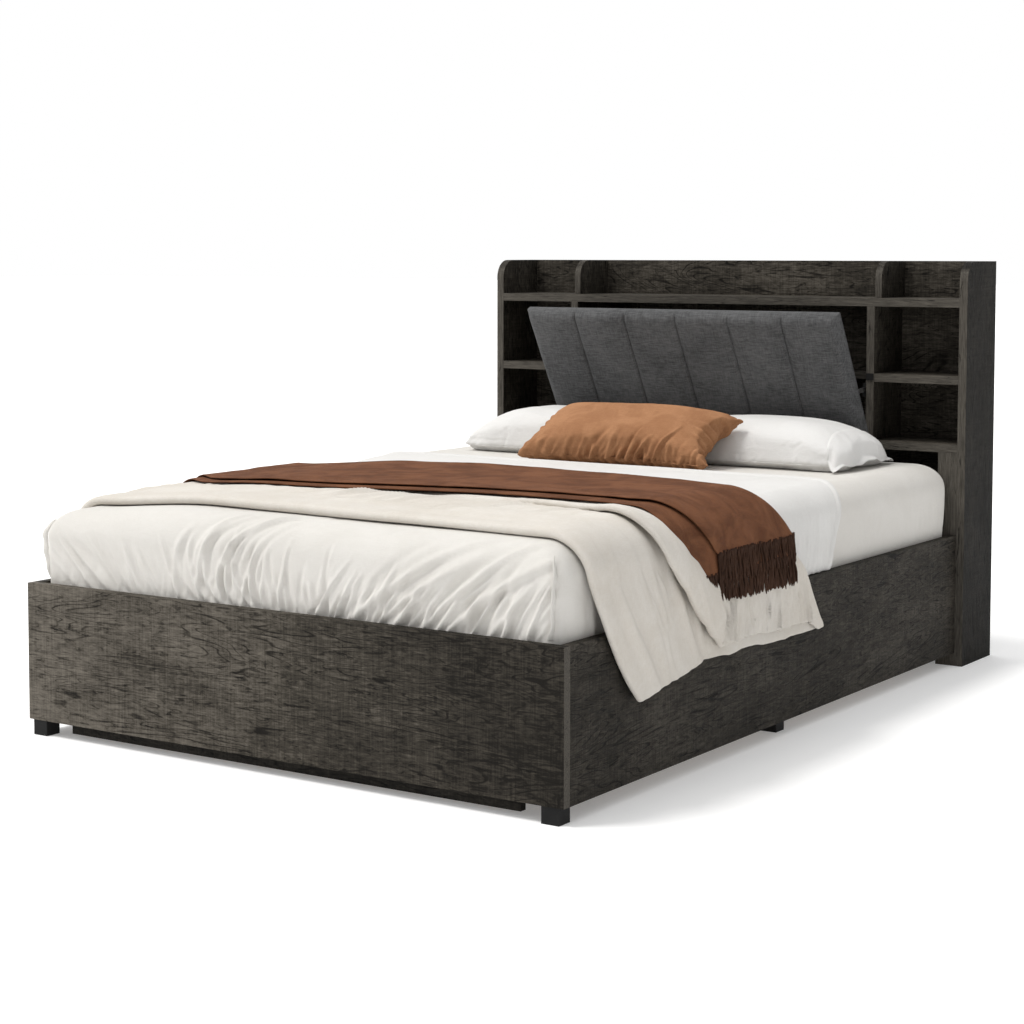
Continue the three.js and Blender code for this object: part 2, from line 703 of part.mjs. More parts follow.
// Folded blanket in two plump bands with a crease between them, hanging in soft folds
function blanketGeometry() {
  const creaseShares = [0.34, 0.28, 0.3, 0.28, 0.34];
  const creaseHalfShare = 0.08;
  const creaseDipShare = 0.6;
  const rimShare = 0.12;
  const hemThicknessShare = 0.4;
  const foldStartShare = 0.5;
  const hemStationShares = [0, 0.25, 0.5, 0.75, 1];
  const hemDropShares = [1, 0.94, 0.89, 0.9, 0.91];
  return clothGeometry({
    rows: 18,
    lift: blanketLift,
    sideX: blanketSideX,
    hangThickness: blanketHangThickness,
    footShares: [0.115, 0.065, 0.047, 0.033, 0.118],
    headShares: [0.55, 0.44, 0.46, 0.414, 0.5585],
    thickness: (u, v) => {
      const away = Math.abs(v - readShares(creaseShares, stationShares, u)) / creaseHalfShare;
      const dip = creaseDipShare * Math.max(0, 1 - away);
      const rim = Math.sqrt(Math.min(1, v / rimShare, (1 - v) / rimShare));
      return blanketThickness * (1 - dip) * THREE.MathUtils.lerp(hemThicknessShare, 1, rim);
    },
    hemZ: (v) => mattressTop - blanketDrop * readShares(hemDropShares, hemStationShares, v),
    fold: (away, v) => {
      const down = Math.max(0, (away - shoulderShare) / (1 - shoulderShare));
      const wave = (1 - Math.cos(2 * Math.PI * blanketFoldCount * v)) / 2;
      return blanketFoldDepth * wave * THREE.MathUtils.smoothstep(down, foldStartShare, 1);
    },
  });
}

// Throw in two widths: a thin strip towards the foot, and the thicker doubled width behind it
function throwGeometry() {
  const stripShare = 0.26;
  const stripThicknessShare = 0.6;
  return clothGeometry({
    rows: 8,
    lift: throwLift,
    sideX: blanketSideX + blanketHangThickness + clothGap,
    hangThickness: throwThickness * stripThicknessShare,
    footShares: [0.27, 0.23, 0.175, 0.175, 0.28],
    headShares: [0.49, 0.47, 0.475, 0.42, 0.511],
    thickness: (u, v) => throwThickness * (v < stripShare ? stripThicknessShare : 1),
    hemZ: () => mattressTop - throwDrop,
    fold: () => 0,
  });
}

// Pillow with a full crown, sides drawn in between its corners and a seam all round;
// underShare is how much of its height lies below the seam
function pillowGeometry(width, depth, height, underShare) {
  const pillowColumns = 16;
  const pillowRows = 12;
  const drawInShare = 0.07;
  const crownFlatness = 4;
  const crownFullness = 0.6;
  const surface = (share, seam) => (u, v) => {
    const x = 2 * u - 1;
    const y = 2 * v - 1;
    const planX = (width / 2) * x * (1 - drawInShare * (1 - y * y));
    const planY = (depth / 2) * y * (1 - drawInShare * (1 - x * x));
    const crown = ((1 - x ** crownFlatness) * (1 - y ** crownFlatness)) ** crownFullness;
    return [planX, planY, seam + (height - seamThickness) * share * crown];
  };
  const over = surface(1 - underShare, seamThickness / 2);
  const under = surface(-underShare, -seamThickness / 2);
  return sheetGeometry(pillowColumns, pillowRows, over, under);
}

// How far a shape reaches from its own origin along a direction
function reachOf(geometry, direction) {
  const positions = geometry.attributes.position;
  const point = new THREE.Vector3();
  let reach = -Infinity;
  for (let index = 0; index < positions.count; index += 1) {
    reach = Math.max(reach, point.fromBufferAttribute(positions, index).dot(direction));
  }
  return reach;
}

// Two sleeping pillows side by side, and a smaller one that stands on the mattress and leans on them
function addPillows() {
  const down = new THREE.Vector3(0, 0, -1);
  const pillowShape = pillowGeometry(pillowWidth, pillowDepth, pillowHeight, pillowUnderShare);
  const pillowY = headY - pillowEndGap - pillowDepth / 2;
  const pillowZ = mattressTop + clothGap + reachOf(pillowShape, down);
  for (const [label, side] of sides) {
    const pillow = addMesh(bed, `pillow_${label}`, pillowShape.clone(), whiteCotton);
    pillow.position.set(side * (pillowWidth / 2 + seamThickness), pillowY, pillowZ);
  }
  const tilt = THREE.MathUtils.degToRad(lumbarTiltDegrees);
  const lumbarShape = pillowGeometry(lumbarWidth, lumbarDepth, lumbarHeight, lumbarUnderShare);
  lumbarShape.rotateX(tilt);
  lumbarShape.rotateZ(THREE.MathUtils.degToRad(lumbarTurnDegrees));
  const upright = new THREE.Vector3(0, -Math.sin(tilt), Math.cos(tilt));
  const slope = new THREE.Vector3(0, pillowY, pillowZ).dot(upright) + reachOf(pillowShape, upright);
  const lumbarPlane = slope + clothGap + reachOf(lumbarShape, upright.clone().negate());
  const lumbarZ = mattressTop + clothGap + reachOf(lumbarShape, down);
  const lumbarY = (lumbarZ * Math.cos(tilt) - lumbarPlane) / Math.sin(tilt) + lumbarSettle;
  addMesh(bed, "lumbar_pillow", lumbarShape, rustCotton).position.set(lumbarShift, lumbarY, lumbarZ);
}

function addBedding() {
  addMesh(bed, "mattress", mattressGeometry(), whiteCotton);
  addMesh(bed, "quilt", quiltGeometry(), whiteCotton);
  addMesh(bed, "blanket", blanketGeometry(), creamCotton);
  addMesh(bed, "throw_blanket", throwGeometry(), rustWool);
  addPillows();
}

addBaseBoards();
addFeetAndPlinth();
addBeams();
addSlats();
addCornerBrackets();
addHeadboardCase();
addHeadboardBays();
addCatches();
addTiltPanel();
addBedding();

export default bed;
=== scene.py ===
"""Looks of the bed with storage headboard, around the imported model."""
import json
import math

import bmesh
import bpy
import numpy as np
from mathutils import Matrix, Vector
from mathutils.bvhtree import BVHTree


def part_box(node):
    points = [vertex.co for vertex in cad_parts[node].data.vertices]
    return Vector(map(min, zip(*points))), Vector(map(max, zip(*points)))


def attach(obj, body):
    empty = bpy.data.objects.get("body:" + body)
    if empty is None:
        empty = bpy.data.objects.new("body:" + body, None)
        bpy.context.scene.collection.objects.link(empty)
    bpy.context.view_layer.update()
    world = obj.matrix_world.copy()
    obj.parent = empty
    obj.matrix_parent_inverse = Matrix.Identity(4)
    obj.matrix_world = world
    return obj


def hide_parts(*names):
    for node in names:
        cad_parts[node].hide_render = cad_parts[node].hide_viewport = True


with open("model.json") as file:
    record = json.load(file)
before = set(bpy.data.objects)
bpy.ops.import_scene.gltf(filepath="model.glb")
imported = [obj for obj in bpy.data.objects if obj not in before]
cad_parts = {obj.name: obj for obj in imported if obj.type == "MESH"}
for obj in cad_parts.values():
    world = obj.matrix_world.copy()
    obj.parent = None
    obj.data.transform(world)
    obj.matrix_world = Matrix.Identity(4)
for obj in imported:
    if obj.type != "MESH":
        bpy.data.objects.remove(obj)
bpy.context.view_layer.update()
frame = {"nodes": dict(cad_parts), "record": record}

NODES = frame["nodes"]
BED, BACK_REST = "bed", "back_rest"
QUARTER = math.pi / 2
ORIGIN = (0, 0, 0)

# ---------------------------------------------------------------- camera and light
CAMERA_PLACE = (2.84984, -4.4914, 1.09323)
CAMERA_ANGLES = (86.0, 0.0, 34.24)
LENS = 76.09
SENSOR = 36.0
SHIFT_X = 0.0316
SHIFT_Y = -0.1086

# The sky's light falls off from left to right and from above to below; the camera sees it plain white
SKY_LIGHT = 0.64
SKY_TURN = 0.7
SKY_LEFT_SHARE = 1.27
SKY_RIGHT_SHARE = 0.62
SKY_LOW_SHARE = 0.74
SKY_TOP_SHARE = 1.95
KEY_LIGHT = 1.9
KEY_ANGLES = (28.0, 0.0, -50.0)
KEY_SPREAD = 18.0
KEY_COLOR = (1.0, 0.985, 0.96)
FLOOR_HALF = 60.0
FLOOR_GLOW = 0.20


def radians(angles):
    return [math.radians(angle) for angle in angles]


def add_camera():
    data = bpy.data.cameras.new("camera")
    data.lens = LENS
    data.sensor_width = SENSOR
    data.shift_x = SHIFT_X
    data.shift_y = SHIFT_Y
    data.clip_end = 200.0
    camera = bpy.data.objects.new("camera", data)
    camera.location = CAMERA_PLACE
    camera.rotation_euler = radians(CAMERA_ANGLES)
    bpy.context.scene.collection.objects.link(camera)
    bpy.context.scene.camera = camera
    bpy.context.scene.view_settings.view_transform = "Standard"


def add_key_light():
    data = bpy.data.lights.new("key", "SUN")
    data.energy = KEY_LIGHT
    data.angle = math.radians(KEY_SPREAD)
    data.color = KEY_COLOR
    key = bpy.data.objects.new("key", data)
    key.rotation_euler = radians(KEY_ANGLES)
    bpy.context.scene.collection.objects.link(key)


def add_sky():
    world = bpy.data.worlds.new("studio")
    world.use_nodes = True
    sky = Nodes(world.node_tree)
    away = sky.split(sky.coords.outputs["Generated"])
    sideways = sky.remap(away[0], -SKY_TURN, SKY_TURN, SKY_LIGHT * SKY_LEFT_SHARE, SKY_LIGHT * SKY_RIGHT_SHARE)
    upwards = sky.remap(away[2], 0.0, 1.0, SKY_LOW_SHARE, SKY_TOP_SHARE)
    seen_by_camera = sky.add("LightPath", {})
    strength = sky.remap(seen_by_camera, 0.0, 1.0, sky.math("MULTIPLY", sideways, upwards), 1.0)
    sky.fill(world.node_tree.nodes["Background"], {"Color": rgba((1.0, 1.0, 1.0)), "Strength": strength})
    bpy.context.scene.world = world


# ---------------------------------------------------------------- node materials
class Nodes:
    """A node tree under construction: each call adds one node and returns its output."""

    def __init__(self, tree):
        self.tree = tree
        self.coords = tree.nodes.new("ShaderNodeTexCoord")

    def fill(self, node, values):
        for key, value in values.items():
            socket = node.inputs[key]
            if isinstance(value, bpy.types.NodeSocket):
                self.tree.links.new(value, socket)
            else:
                socket.default_value = value
        return node

    def make(self, kind, values, **settings):
        node = self.tree.nodes.new("ShaderNode" + kind)
        for key, value in settings.items():
            setattr(node, key, value)
        return self.fill(node, values)

    def add(self, kind, values, **settings):
        return self.make(kind, values, **settings).outputs[0]

    def split(self, vector):
        return self.make("SeparateXYZ", {0: vector}).outputs

    def scaled(self, scale, place=ORIGIN, source=None):
        scale = (scale,) * 3 if isinstance(scale, float) else scale
        return self.add("Mapping", {"Vector": source or self.coords.outputs["Object"], "Scale": scale,
                                    "Location": place})

    def noise(self, scale, place=ORIGIN, source=None, detail=3.0, roughness=0.5, distortion=0.0):
        return self.add("TexNoise", {"Vector": self.scaled(scale, place, source), "Scale": 1.0, "Detail": detail,
                                     "Roughness": roughness, "Distortion": distortion})

    def math(self, operation, *values):
        return self.add("Math", dict(enumerate(values)), operation=operation)

    def build_up(self, total, *parts):
        """Adds each part, given as (value, weight), to the total."""
        for value, weight in parts:
            total = self.math("MULTIPLY_ADD", value, weight, total)
        return total

    def remap(self, value, low, high, to_low=0.0, to_high=1.0, smooth=False):
        return self.add("MapRange", {"Value": value, "From Min": low, "From Max": high, "To Min": to_low,
                                     "To Max": to_high}, interpolation_type="SMOOTHSTEP" if smooth else "LINEAR")

    def mix(self, factor, first, second):
        """Mixes two colours: sockets 0, 6 and 7 take the factor and the colours, and 2 gives the result."""
        return self.make("Mix", {0: factor, 6: first, 7: second}, data_type="RGBA").outputs[2]

    def bump(self, height, distance, strength=1.0):
        return self.add("Bump", {"Height": height, "Distance": distance, "Strength": strength})


class Shader(Nodes):
    """A material under construction."""

    def __init__(self, name):
        self.material = bpy.data.materials.new(name)
        self.material.use_nodes = True
        super().__init__(self.material.node_tree)

    def finish(self, values):
        self.fill(self.tree.nodes["Principled BSDF"], values)
        return self.material


def rgba(color, factor=1.0):
    return tuple(min(1.0, channel * factor) for channel in color) + (1.0,)


def grain_coords(shader, grain, place=ORIGIN):
    """Object coordinates turned so that the grain runs along their first axis."""
    axes = shader.split(shader.coords.outputs["Object"])
    order = {"x": (0, 1, 2), "y": (1, 2, 0), "z": (2, 0, 1)}[grain]
    turned = shader.add("CombineXYZ", {index: axes[axis] for index, axis in enumerate(order)})
    return shader.scaled(1.0, place, turned)


LAMINATE_DARK = (0.0066, 0.0056, 0.0044)
LAMINATE_MID = (0.0335, 0.0292, 0.0232)
LAMINATE_LIGHT = (0.108, 0.096, 0.080)
EDGE_BAND = (0.092, 0.083, 0.070)
GROWTH_LINES = 36.0


def laminate(name, grain, edge, place, light, drift):
    """Dark oak-like laminate: broken growth lines, pores, cracks, saw marks and cloudy patches.
    edge is the axis that the banded edges face, light the board's lightness, which paints light (above 1) and
    shade (below 1) into its colour, drift its change along X."""
    shader = Shader(name)
    base = grain_coords(shader, grain, place)

    def layer(along, across, offset, *shape):
        return shader.noise((along, across, across), offset, base, *shape)

    warp = layer(1.15, 8.5, ORIGIN, 3.0, 0.48, 0.7)
    turns = shader.math("SUBTRACT", shader.math("FRACT", shader.math("MULTIPLY", warp, GROWTH_LINES)), 0.5)
    line = shader.remap(shader.math("ABSOLUTE", turns), 0.0, 0.15, 1.0, 0.0, smooth=True)
    where = shader.remap(layer(5.0, 20.0, (7.3, 1.9, 4.0), 6.0, 0.68), 0.42, 0.58, smooth=True)
    line = shader.math("MULTIPLY", line, where)
    cloud = shader.remap(layer(3.0, 6.5, (3.1, 0.7, 2.2), 8.0, 0.68, 0.4), 0.34, 0.68)
    fibre = layer(22.0, 300.0, ORIGIN, 5.0, 0.68, 0.3)
    fine = shader.remap(fibre, 0.30, 0.70)
    rough = layer(30.0, 115.0, (9.0, 4.0, 6.0), 8.0, 0.74, 1.0)
    rugged = shader.remap(rough, 0.40, 0.62)
    pore = shader.remap(rough, 0.575, 0.64, smooth=True)
    crack = shader.remap(layer(11.0, 88.0, (1.0, 8.0, 2.0), 6.0, 0.66, 1.2), 0.62, 0.68, smooth=True)
    saw = shader.remap(layer(260.0, 12.0, (2.0, 5.0, 1.0), 4.0, 0.65), 0.36, 0.68)
    tone = shader.build_up(0.20, (fine, 0.32), (cloud, 0.32), (rugged, -0.30), (saw, 0.18), (line, -0.44),
                           (pore, -0.22), (crack, -0.42))
    if drift:
        tone = shader.build_up(tone, (shader.split(shader.coords.outputs["Object"])[0], drift))
    # light scales the colours: painted light above 1, painted shade below 1
    ramp = shader.make("ValToRGB", {0: tone})
    stops = ramp.color_ramp.elements
    stops[0].position, stops[0].color = 0.04, rgba(LAMINATE_DARK, light)
    stops[1].position, stops[1].color = 0.95, rgba(LAMINATE_LIGHT, light)
    stops.new(0.44).color = rgba(LAMINATE_MID, light)
    color = ramp.outputs[0]
    if edge is not None:
        facing = shader.split(shader.coords.outputs["Normal"])["xyz".index(edge)]
        mask = shader.remap(shader.math("ABSOLUTE", facing), 0.75, 0.9)
        band = shader.mix(shader.remap(fibre, 0.35, 0.66), rgba(EDGE_BAND, 0.5), rgba(EDGE_BAND, 1.15))
        band = shader.mix(crack, band, rgba(EDGE_BAND, 0.3))
        color = shader.mix(mask, color, band)
    height = shader.build_up(shader.math("MULTIPLY", line, -0.30), (fibre, 0.35), (crack, -0.8), (rough, -0.6),
                             (saw, 0.12))
    return shader.finish({"Base Color": color, "Roughness": shader.remap(fibre, 0.3, 0.7, 0.55, 0.78),
                          "Normal": shader.bump(height, 0.0014), "Specular IOR Level": 0.10})


def softwood(name, grain):
    shader = Shader(name)
    base = grain_coords(shader, grain)
    warp = shader.noise((0.9, 7.0, 7.0), ORIGIN, base, 2.0, 0.5, 0.4)
    line = shader.remap(shader.math("SINE", shader.math("MULTIPLY", warp, 90.0)), -1.0, 1.0)
    fibre = shader.noise((14.0, 300.0, 300.0), ORIGIN, base, 4.0, 0.6)
    knot = shader.remap(shader.noise((3.2, 8.0, 8.0), (4.0, 2.0, 6.0), base, 2.0), 0.70, 0.76, smooth=True)
    color = shader.mix(line, rgba((0.66, 0.47, 0.27)), rgba((0.50, 0.31, 0.15)))
    color = shader.mix(shader.remap(fibre, 0.35, 0.7, 0.0, 0.45), color, rgba((0.74, 0.58, 0.38)))
    color = shader.mix(knot, color, rgba((0.20, 0.10, 0.05)))
    return shader.finish({"Base Color": color, "Roughness": shader.remap(fibre, 0.3, 0.7, 0.55, 0.75),
                          "Normal": shader.bump(shader.build_up(fibre, (line, 0.3)), 0.0005, 0.7)})


def moulded_plastic(name):
    shader = Shader(name)
    grain = shader.noise(900.0, roughness=0.6)
    cloud = shader.noise(18.0, roughness=0.6)
    color = shader.mix(shader.remap(cloud, 0.35, 0.7), rgba((0.0075, 0.0075, 0.0078)),
                       rgba((0.016, 0.0158, 0.0155)))
    return shader.finish({"Base Color": color, "Roughness": shader.remap(cloud, 0.3, 0.7, 0.50, 0.66),
                          "Normal": shader.bump(grain, 0.0002, 0.5), "Specular IOR Level": 0.15})


def plated_steel(name, along):
    shader = Shader(name)
    brush = shader.noise((9.0, 1400.0, 1400.0), ORIGIN, grain_coords(shader, along), 3.0, 0.6)
    spangle = shader.noise(60.0, ORIGIN, None, 4.0, 0.7, 1.5)
    color = shader.mix(shader.remap(spangle, 0.35, 0.68), rgba((0.30, 0.31, 0.325)), rgba((0.46, 0.465, 0.475)))
    rough = shader.build_up(shader.remap(spangle, 0.3, 0.7, 0.20, 0.32), (brush, 0.22))
    return shader.finish({"Base Color": color, "Metallic": 1.0, "Roughness": rough,
                          "Normal": shader.bump(brush, 0.0001, 0.4)})


WEAVE_SHARE = 0.18
SLUB_FINENESS = 11.0


def cloth(name, color, shade, fibre_scale, thread, streaks, fuzz, sheen=0.25, bump=0.0006,
          patch=6.0, mottle=0.35):
    """Woven cloth: threads all ways, slubs along them, soft mottling and a little fuzz.
    fibre_scale sets the slubs, thread is the pitch of the weave in metres."""
    shader = Shader(name)
    wobble = shader.noise(35.0, detail=2.0)
    wobble = shader.add("CombineXYZ", {axis: wobble for axis in range(3)})
    loose = shader.add("VectorMath", {0: wobble, 1: (0.004,) * 3, 2: shader.coords.outputs["Object"]},
                       operation="MULTIPLY_ADD")
    x_wave, y_wave, z_wave = (shader.math("SINE", shader.math("MULTIPLY", axis, 2 * math.pi / thread))
                              for axis in shader.split(loose))
    weave = shader.build_up(shader.math("MULTIPLY", x_wave, y_wave), (y_wave, z_wave), (x_wave, z_wave))
    weave = shader.remap(weave, -1.5, 1.5)
    threads = []
    for axis in range(3):
        scale = [fibre_scale] * 3
        scale[axis] *= SLUB_FINENESS
        threads.append(shader.noise(scale, (3.0 * axis, 1.0, 2.0 * axis), loose, 3.0, 0.6))
    slub = shader.math("ADD", shader.math("ADD", threads[0], threads[1]), threads[2])
    slub = shader.remap(slub, 1.22, 1.78)
    cloud = shader.noise(patch, (1.0, 4.0, 2.0), None, 5.0, 0.62, 0.6)
    cloud = shader.remap(cloud, 0.36, 0.66, smooth=True)
    fluff = shader.noise(420.0, roughness=0.7)
    tone = shader.build_up(shader.math("MULTIPLY", cloud, mottle), (slub, streaks), (weave, WEAVE_SHARE),
                           (fluff, fuzz))
    top = mottle + streaks + WEAVE_SHARE + fuzz
    mixed = shader.mix(shader.remap(tone, 0.12 * top, 0.80 * top), rgba(shade), rgba(color))
    height = shader.build_up(shader.math("MULTIPLY", slub, 0.7), (weave, 0.5), (fluff, 2.0 * fuzz))
    return shader.finish({"Base Color": mixed, "Roughness": shader.remap(slub, 0.0, 1.0, 0.82, 0.97),
                          "Normal": shader.bump(height, bump, 0.8), "Sheen Weight": sheen,
                          "Sheen Roughness": 0.45, "Sheen Tint": rgba(color), "Specular IOR Level": 0.15})


# ---------------------------------------------------------------- smooth noise and small helpers
def lattice(ix, iy, seed):
    """Repeatable values from -1 to 1 on whole-number points."""
    mixed = (ix * 374761393 + iy * 668265263 + seed * 144269504) & 0xFFFFFFFF
    mixed = ((mixed ^ (mixed >> 13)) * 1274126177) & 0xFFFFFFFF
    mixed = (mixed ^ (mixed >> 16)) & 0xFFFFFF
    return mixed / float(0xFFFFFF) * 2.0 - 1.0


def noise(x, y, seed):
    x, y = np.broadcast_arrays(np.asarray(x, float), np.asarray(y, float))
    ix, iy = np.floor(x).astype(np.int64), np.floor(y).astype(np.int64)
    fx, fy = x - ix, y - iy
    sx, sy = fx * fx * (3 - 2 * fx), fy * fy * (3 - 2 * fy)
    low = lattice(ix, iy, seed) * (1 - sx) + lattice(ix + 1, iy, seed) * sx
    high = lattice(ix, iy + 1, seed) * (1 - sx) + lattice(ix + 1, iy + 1, seed) * sx
    return low * (1 - sy) + high * sy


def ridges(x, y, seed):
    """Noise with soft valleys and narrow crests, as cloth puckers have."""
    return 1.0 - 2.0 * np.sqrt(noise(x, y, seed) ** 2 + 0.004)


def smooth(value, low=0.0, high=1.0):
    share = np.clip((value - low) / (high - low), 0.0, 1.0)
    return share * share * (3 - 2 * share)


def lerp(a, b, t):
    return a + (b - a) * t


def table(value, pairs):
    """Reads a table of (place, value) pairs with a smooth curve between them."""
    xs = np.array([pair[0] for pair in pairs])
    ys = np.array([pair[1] for pair in pairs])
    slopes = np.gradient(ys, xs)
    value = np.clip(value, xs[0], xs[-1])
    index = np.clip(np.searchsorted(xs, value) - 1, 0, len(xs) - 2)
    span = xs[index + 1] - xs[index]
    t = (value - xs[index]) / span
    t2, t3 = t * t, t * t * t
    start, end = ys[index], ys[index + 1]
    return ((2 * t3 - 3 * t2 + 1) * start + (t3 - 2 * t2 + t) * span * slopes[index]
            + (3 * t2 - 2 * t3) * end + (t3 - t2) * span * slopes[index + 1])


def hump(value):
    return np.exp(-(value ** 2))


def fold_strokes(groups, seed):
    """Folds of cloth that run up from a line: (start, lean, bow, width, height, reach) for each.
    A group gives the places it starts between, how many folds, lean, bow, least and most reach, height, width."""
    random = np.random.default_rng(seed)
    folds = []
    for low, high, count, lean, bow, short, long, height, width in groups:
        for index in range(count):
            start = lerp(low, high, (index + random.uniform(0.1, 0.9)) / count)
            folds.append((start, lean + random.normal(0, 0.12 + 0.1 * abs(lean)), bow * random.uniform(0.7, 1.3),
                          width * random.uniform(0.7, 1.4),
                          height * random.uniform(0.5, 1.3) * random.choice((1, 1, -0.6)),
                          random.uniform(short, long)))
    return np.array(folds)


def fold_relief(along, run, folds, rise=0.02):
    """Height of the folds at places given along the line that they start from, and up from it."""
    relief = np.zeros(np.broadcast(along, run).shape)
    for start, lean, bow, width, height, reach in folds:
        centre = start + lean * run + bow * run * run
        slope = lean + 2 * bow * run
        aside = (along - centre) / np.sqrt(1 + slope * slope) / width
        crest = hump(aside) - 0.55 * hump((aside - 1.7) / 1.2) - 0.2 * hump((aside + 2.0) / 1.4)
        fade = smooth(run, -0.015, rise - 0.015) * (1 - smooth(run, reach * 0.45, reach))
        relief = relief + height * crest * fade
    return relief


def unit(vectors):
    return vectors / np.maximum(np.linalg.norm(vectors, axis=-1, keepdims=True), 1e-12)


def grid_normals(points):
    return unit(np.cross(np.gradient(points, axis=1), np.gradient(points, axis=0)))


def normals_up(grid, row):
    """Normals of a grid, turned so that they point up in the middle of the given row."""
    normals = grid_normals(grid)
    return normals * np.sign(normals[row, grid.shape[1] // 2, 2])


def distances(line):
    """How far along a line each of its points lies."""
    return np.concatenate([[0], np.cumsum(np.linalg.norm(np.diff(line, axis=0), axis=1))])


def point_on(line, places, distance):
    return np.array([np.interp(distance, places, line[:, axis]) for axis in range(3)])


def place_points(points, place):
    matrix = np.array(place)
    return points @ matrix[:3, :3].T + matrix[:3, 3]


def read_vertices(mesh, what="co"):
    flat = np.zeros(len(mesh.vertices) * 3)
    mesh.vertices.foreach_get(what, flat)
    return flat.reshape(-1, 3)


def write_points(mesh, points):
    mesh.vertices.foreach_set("co", np.asarray(points, float).ravel())
    mesh.update()


def grid_faces(rows, columns, first=0, wrap=False, flip=False):
    row = np.arange(rows - 1)[:, None]
    column = np.arange(columns if wrap else columns - 1)[None, :]
    after = (column + 1) % columns
    quads = np.stack([row * columns + column, row * columns + after,
                      (row + 1) * columns + after, (row + 1) * columns + column], -1)
    quads = quads.reshape(-1, 4) + first
    return quads[:, ::-1] if flip else quads


def rim_faces(outer, inner):
    """Closes the gap between two edge loops of equal length."""
    after_outer, after_inner = np.roll(outer, -1), np.roll(inner, -1)
    return np.stack([outer, inner, after_inner, after_outer], -1)


def border(rows, columns, first=0):
    top = np.arange(columns)
    right = np.arange(1, rows) * columns + columns - 1
    bottom = (rows - 1) * columns + np.arange(columns - 2, -1, -1)
    left = np.arange(rows - 2, 0, -1) * columns
    return np.concatenate([top, right, bottom, left]) + first


# Joining over a longer distance would weld the tight layers of the folded sheets
SAME_POINT = 0.00001


def mend_faces(mesh, join):
    """Turns all faces outwards. With a distance to join over, it first joins the points that lie no further
    apart and fills what is still open."""
    work = bmesh.new()
    work.from_mesh(mesh)
    if join > 0:
        bmesh.ops.remove_doubles(work, verts=work.verts, dist=join)
        open_edges = [edge for edge in work.edges if edge.is_boundary]
        if open_edges:
            bmesh.ops.holes_fill(work, edges=open_edges, sides=0)
    bmesh.ops.recalc_face_normals(work, faces=work.faces)
    work.to_mesh(mesh)
    work.free()


def add_piece(name, points, faces, material, slot=None, body=BED, join=None):
    """Adds a smooth mesh. Its faces stay as they come without a distance to join over, which can be 0."""
    mesh = bpy.data.meshes.new(name)
    mesh.from_pydata(np.asarray(points, float).reshape(-1, 3).tolist(), [], [list(map(int, f)) for f in faces])
    mesh.validate()
    mesh.polygons.foreach_set("use_smooth", [True] * len(mesh.polygons))
    mesh.materials.append(material)
    if join is not None:
        mend_faces(mesh, join)
    piece = bpy.data.objects.new(name, mesh)
    bpy.context.scene.collection.objects.link(piece)
    if body is not None:
        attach(piece, body)
    return piece


def shell(outer, inner):
    """Points and faces of a closed shell between two grids of one size."""
    rows, columns = outer.shape[:2]
    count = rows * columns
    points = np.concatenate([outer.reshape(-1, 3), inner.reshape(-1, 3)])
    faces = np.concatenate([
        grid_faces(rows, columns, flip=True),
        grid_faces(rows, columns, count),
        rim_faces(border(rows, columns), border(rows, columns, count)),
    ])
    return points, faces


def thick_sheet(middle, thickness):
    """Closed shell of a sheet with rounded rims around its middle surface."""
    half = np.broadcast_to(np.asarray(thickness, float), middle.shape[:2]) / 2
    taper = np.ones(middle.shape[:2])
    for index, share in enumerate((0.45, 0.8)):
        for line in (np.s_[index, :], np.s_[-1 - index, :], np.s_[:, index], np.s_[:, -1 - index]):
            taper[line] = np.minimum(taper[line], share)
    normals = grid_normals(middle)
    away = normals * (half * taper)[..., None]
    return shell(middle + away, middle - away)


def spaced(count, length, rim):
    """Shares from 0 to 1 with two extra ones close to each end for a rounded rim."""
    edge = [0.0, 0.25 * rim / length, 0.75 * rim / length]
    inner = np.linspace(1.6 * rim / length, 1 - 1.6 * rim / length, count)
    return np.concatenate([edge, inner, [1 - share for share in edge[::-1]]])


# ---------------------------------------------------------------- boards, metal and plastic
UPRIGHT_BOARDS = ("headboard_side_left", "headboard_side_right", "front_post_left", "front_post_right",
                  "divider_left", "divider_right", "tray_divider_left", "tray_divider_right")
SHELVES = ("top_shelf", "lower_shelf", "middle_shelf_left", "middle_shelf_right", "middle_shelf_centre")
LONG_BEAMS = ("centre_beam", "slat_ledge_left", "slat_ledge_right")
GRAIN_OF = {"side_rail_left": "y", "side_rail_right": "y", **dict.fromkeys(UPRIGHT_BOARDS, "z")}
EDGE_BANDED = {"footboard": "x", **dict.fromkeys(UPRIGHT_BOARDS + SHELVES, "y")}
# Lightness of each laminate board, painted into its colour: above 1 is painted light on the front-lit footboard
# and on the back panel and shelves inside the headboard; below 1 is painted shade on the right-facing rail and
# headboard side and on the posts and plinth board that stand in shadow
PAINTED_LIGHT_AND_SHADE_OF = {"footboard": 1.42, "side_rail_right": 0.80, "headboard_side_right": 0.28, "headboard_back": 1.4,
            "top_shelf": 1.3, "lower_shelf": 1.3, "middle_shelf_left": 1.3, "middle_shelf_right": 1.3,
            "front_post_left": 0.35, "front_post_right": 0.35, "front_plinth_board": 0.40}
DRIFT_OF = {"footboard": -0.42}
BOARD_BEVEL = 0.0009
METAL_BEVEL = 0.0004


def soften_edges(piece, width):
    bevel = piece.modifiers.new("worn edges", "BEVEL")
    bevel.width = width
    bevel.segments = 2
    bevel.limit_method = "ANGLE"
    bevel.angle_limit = math.radians(40)


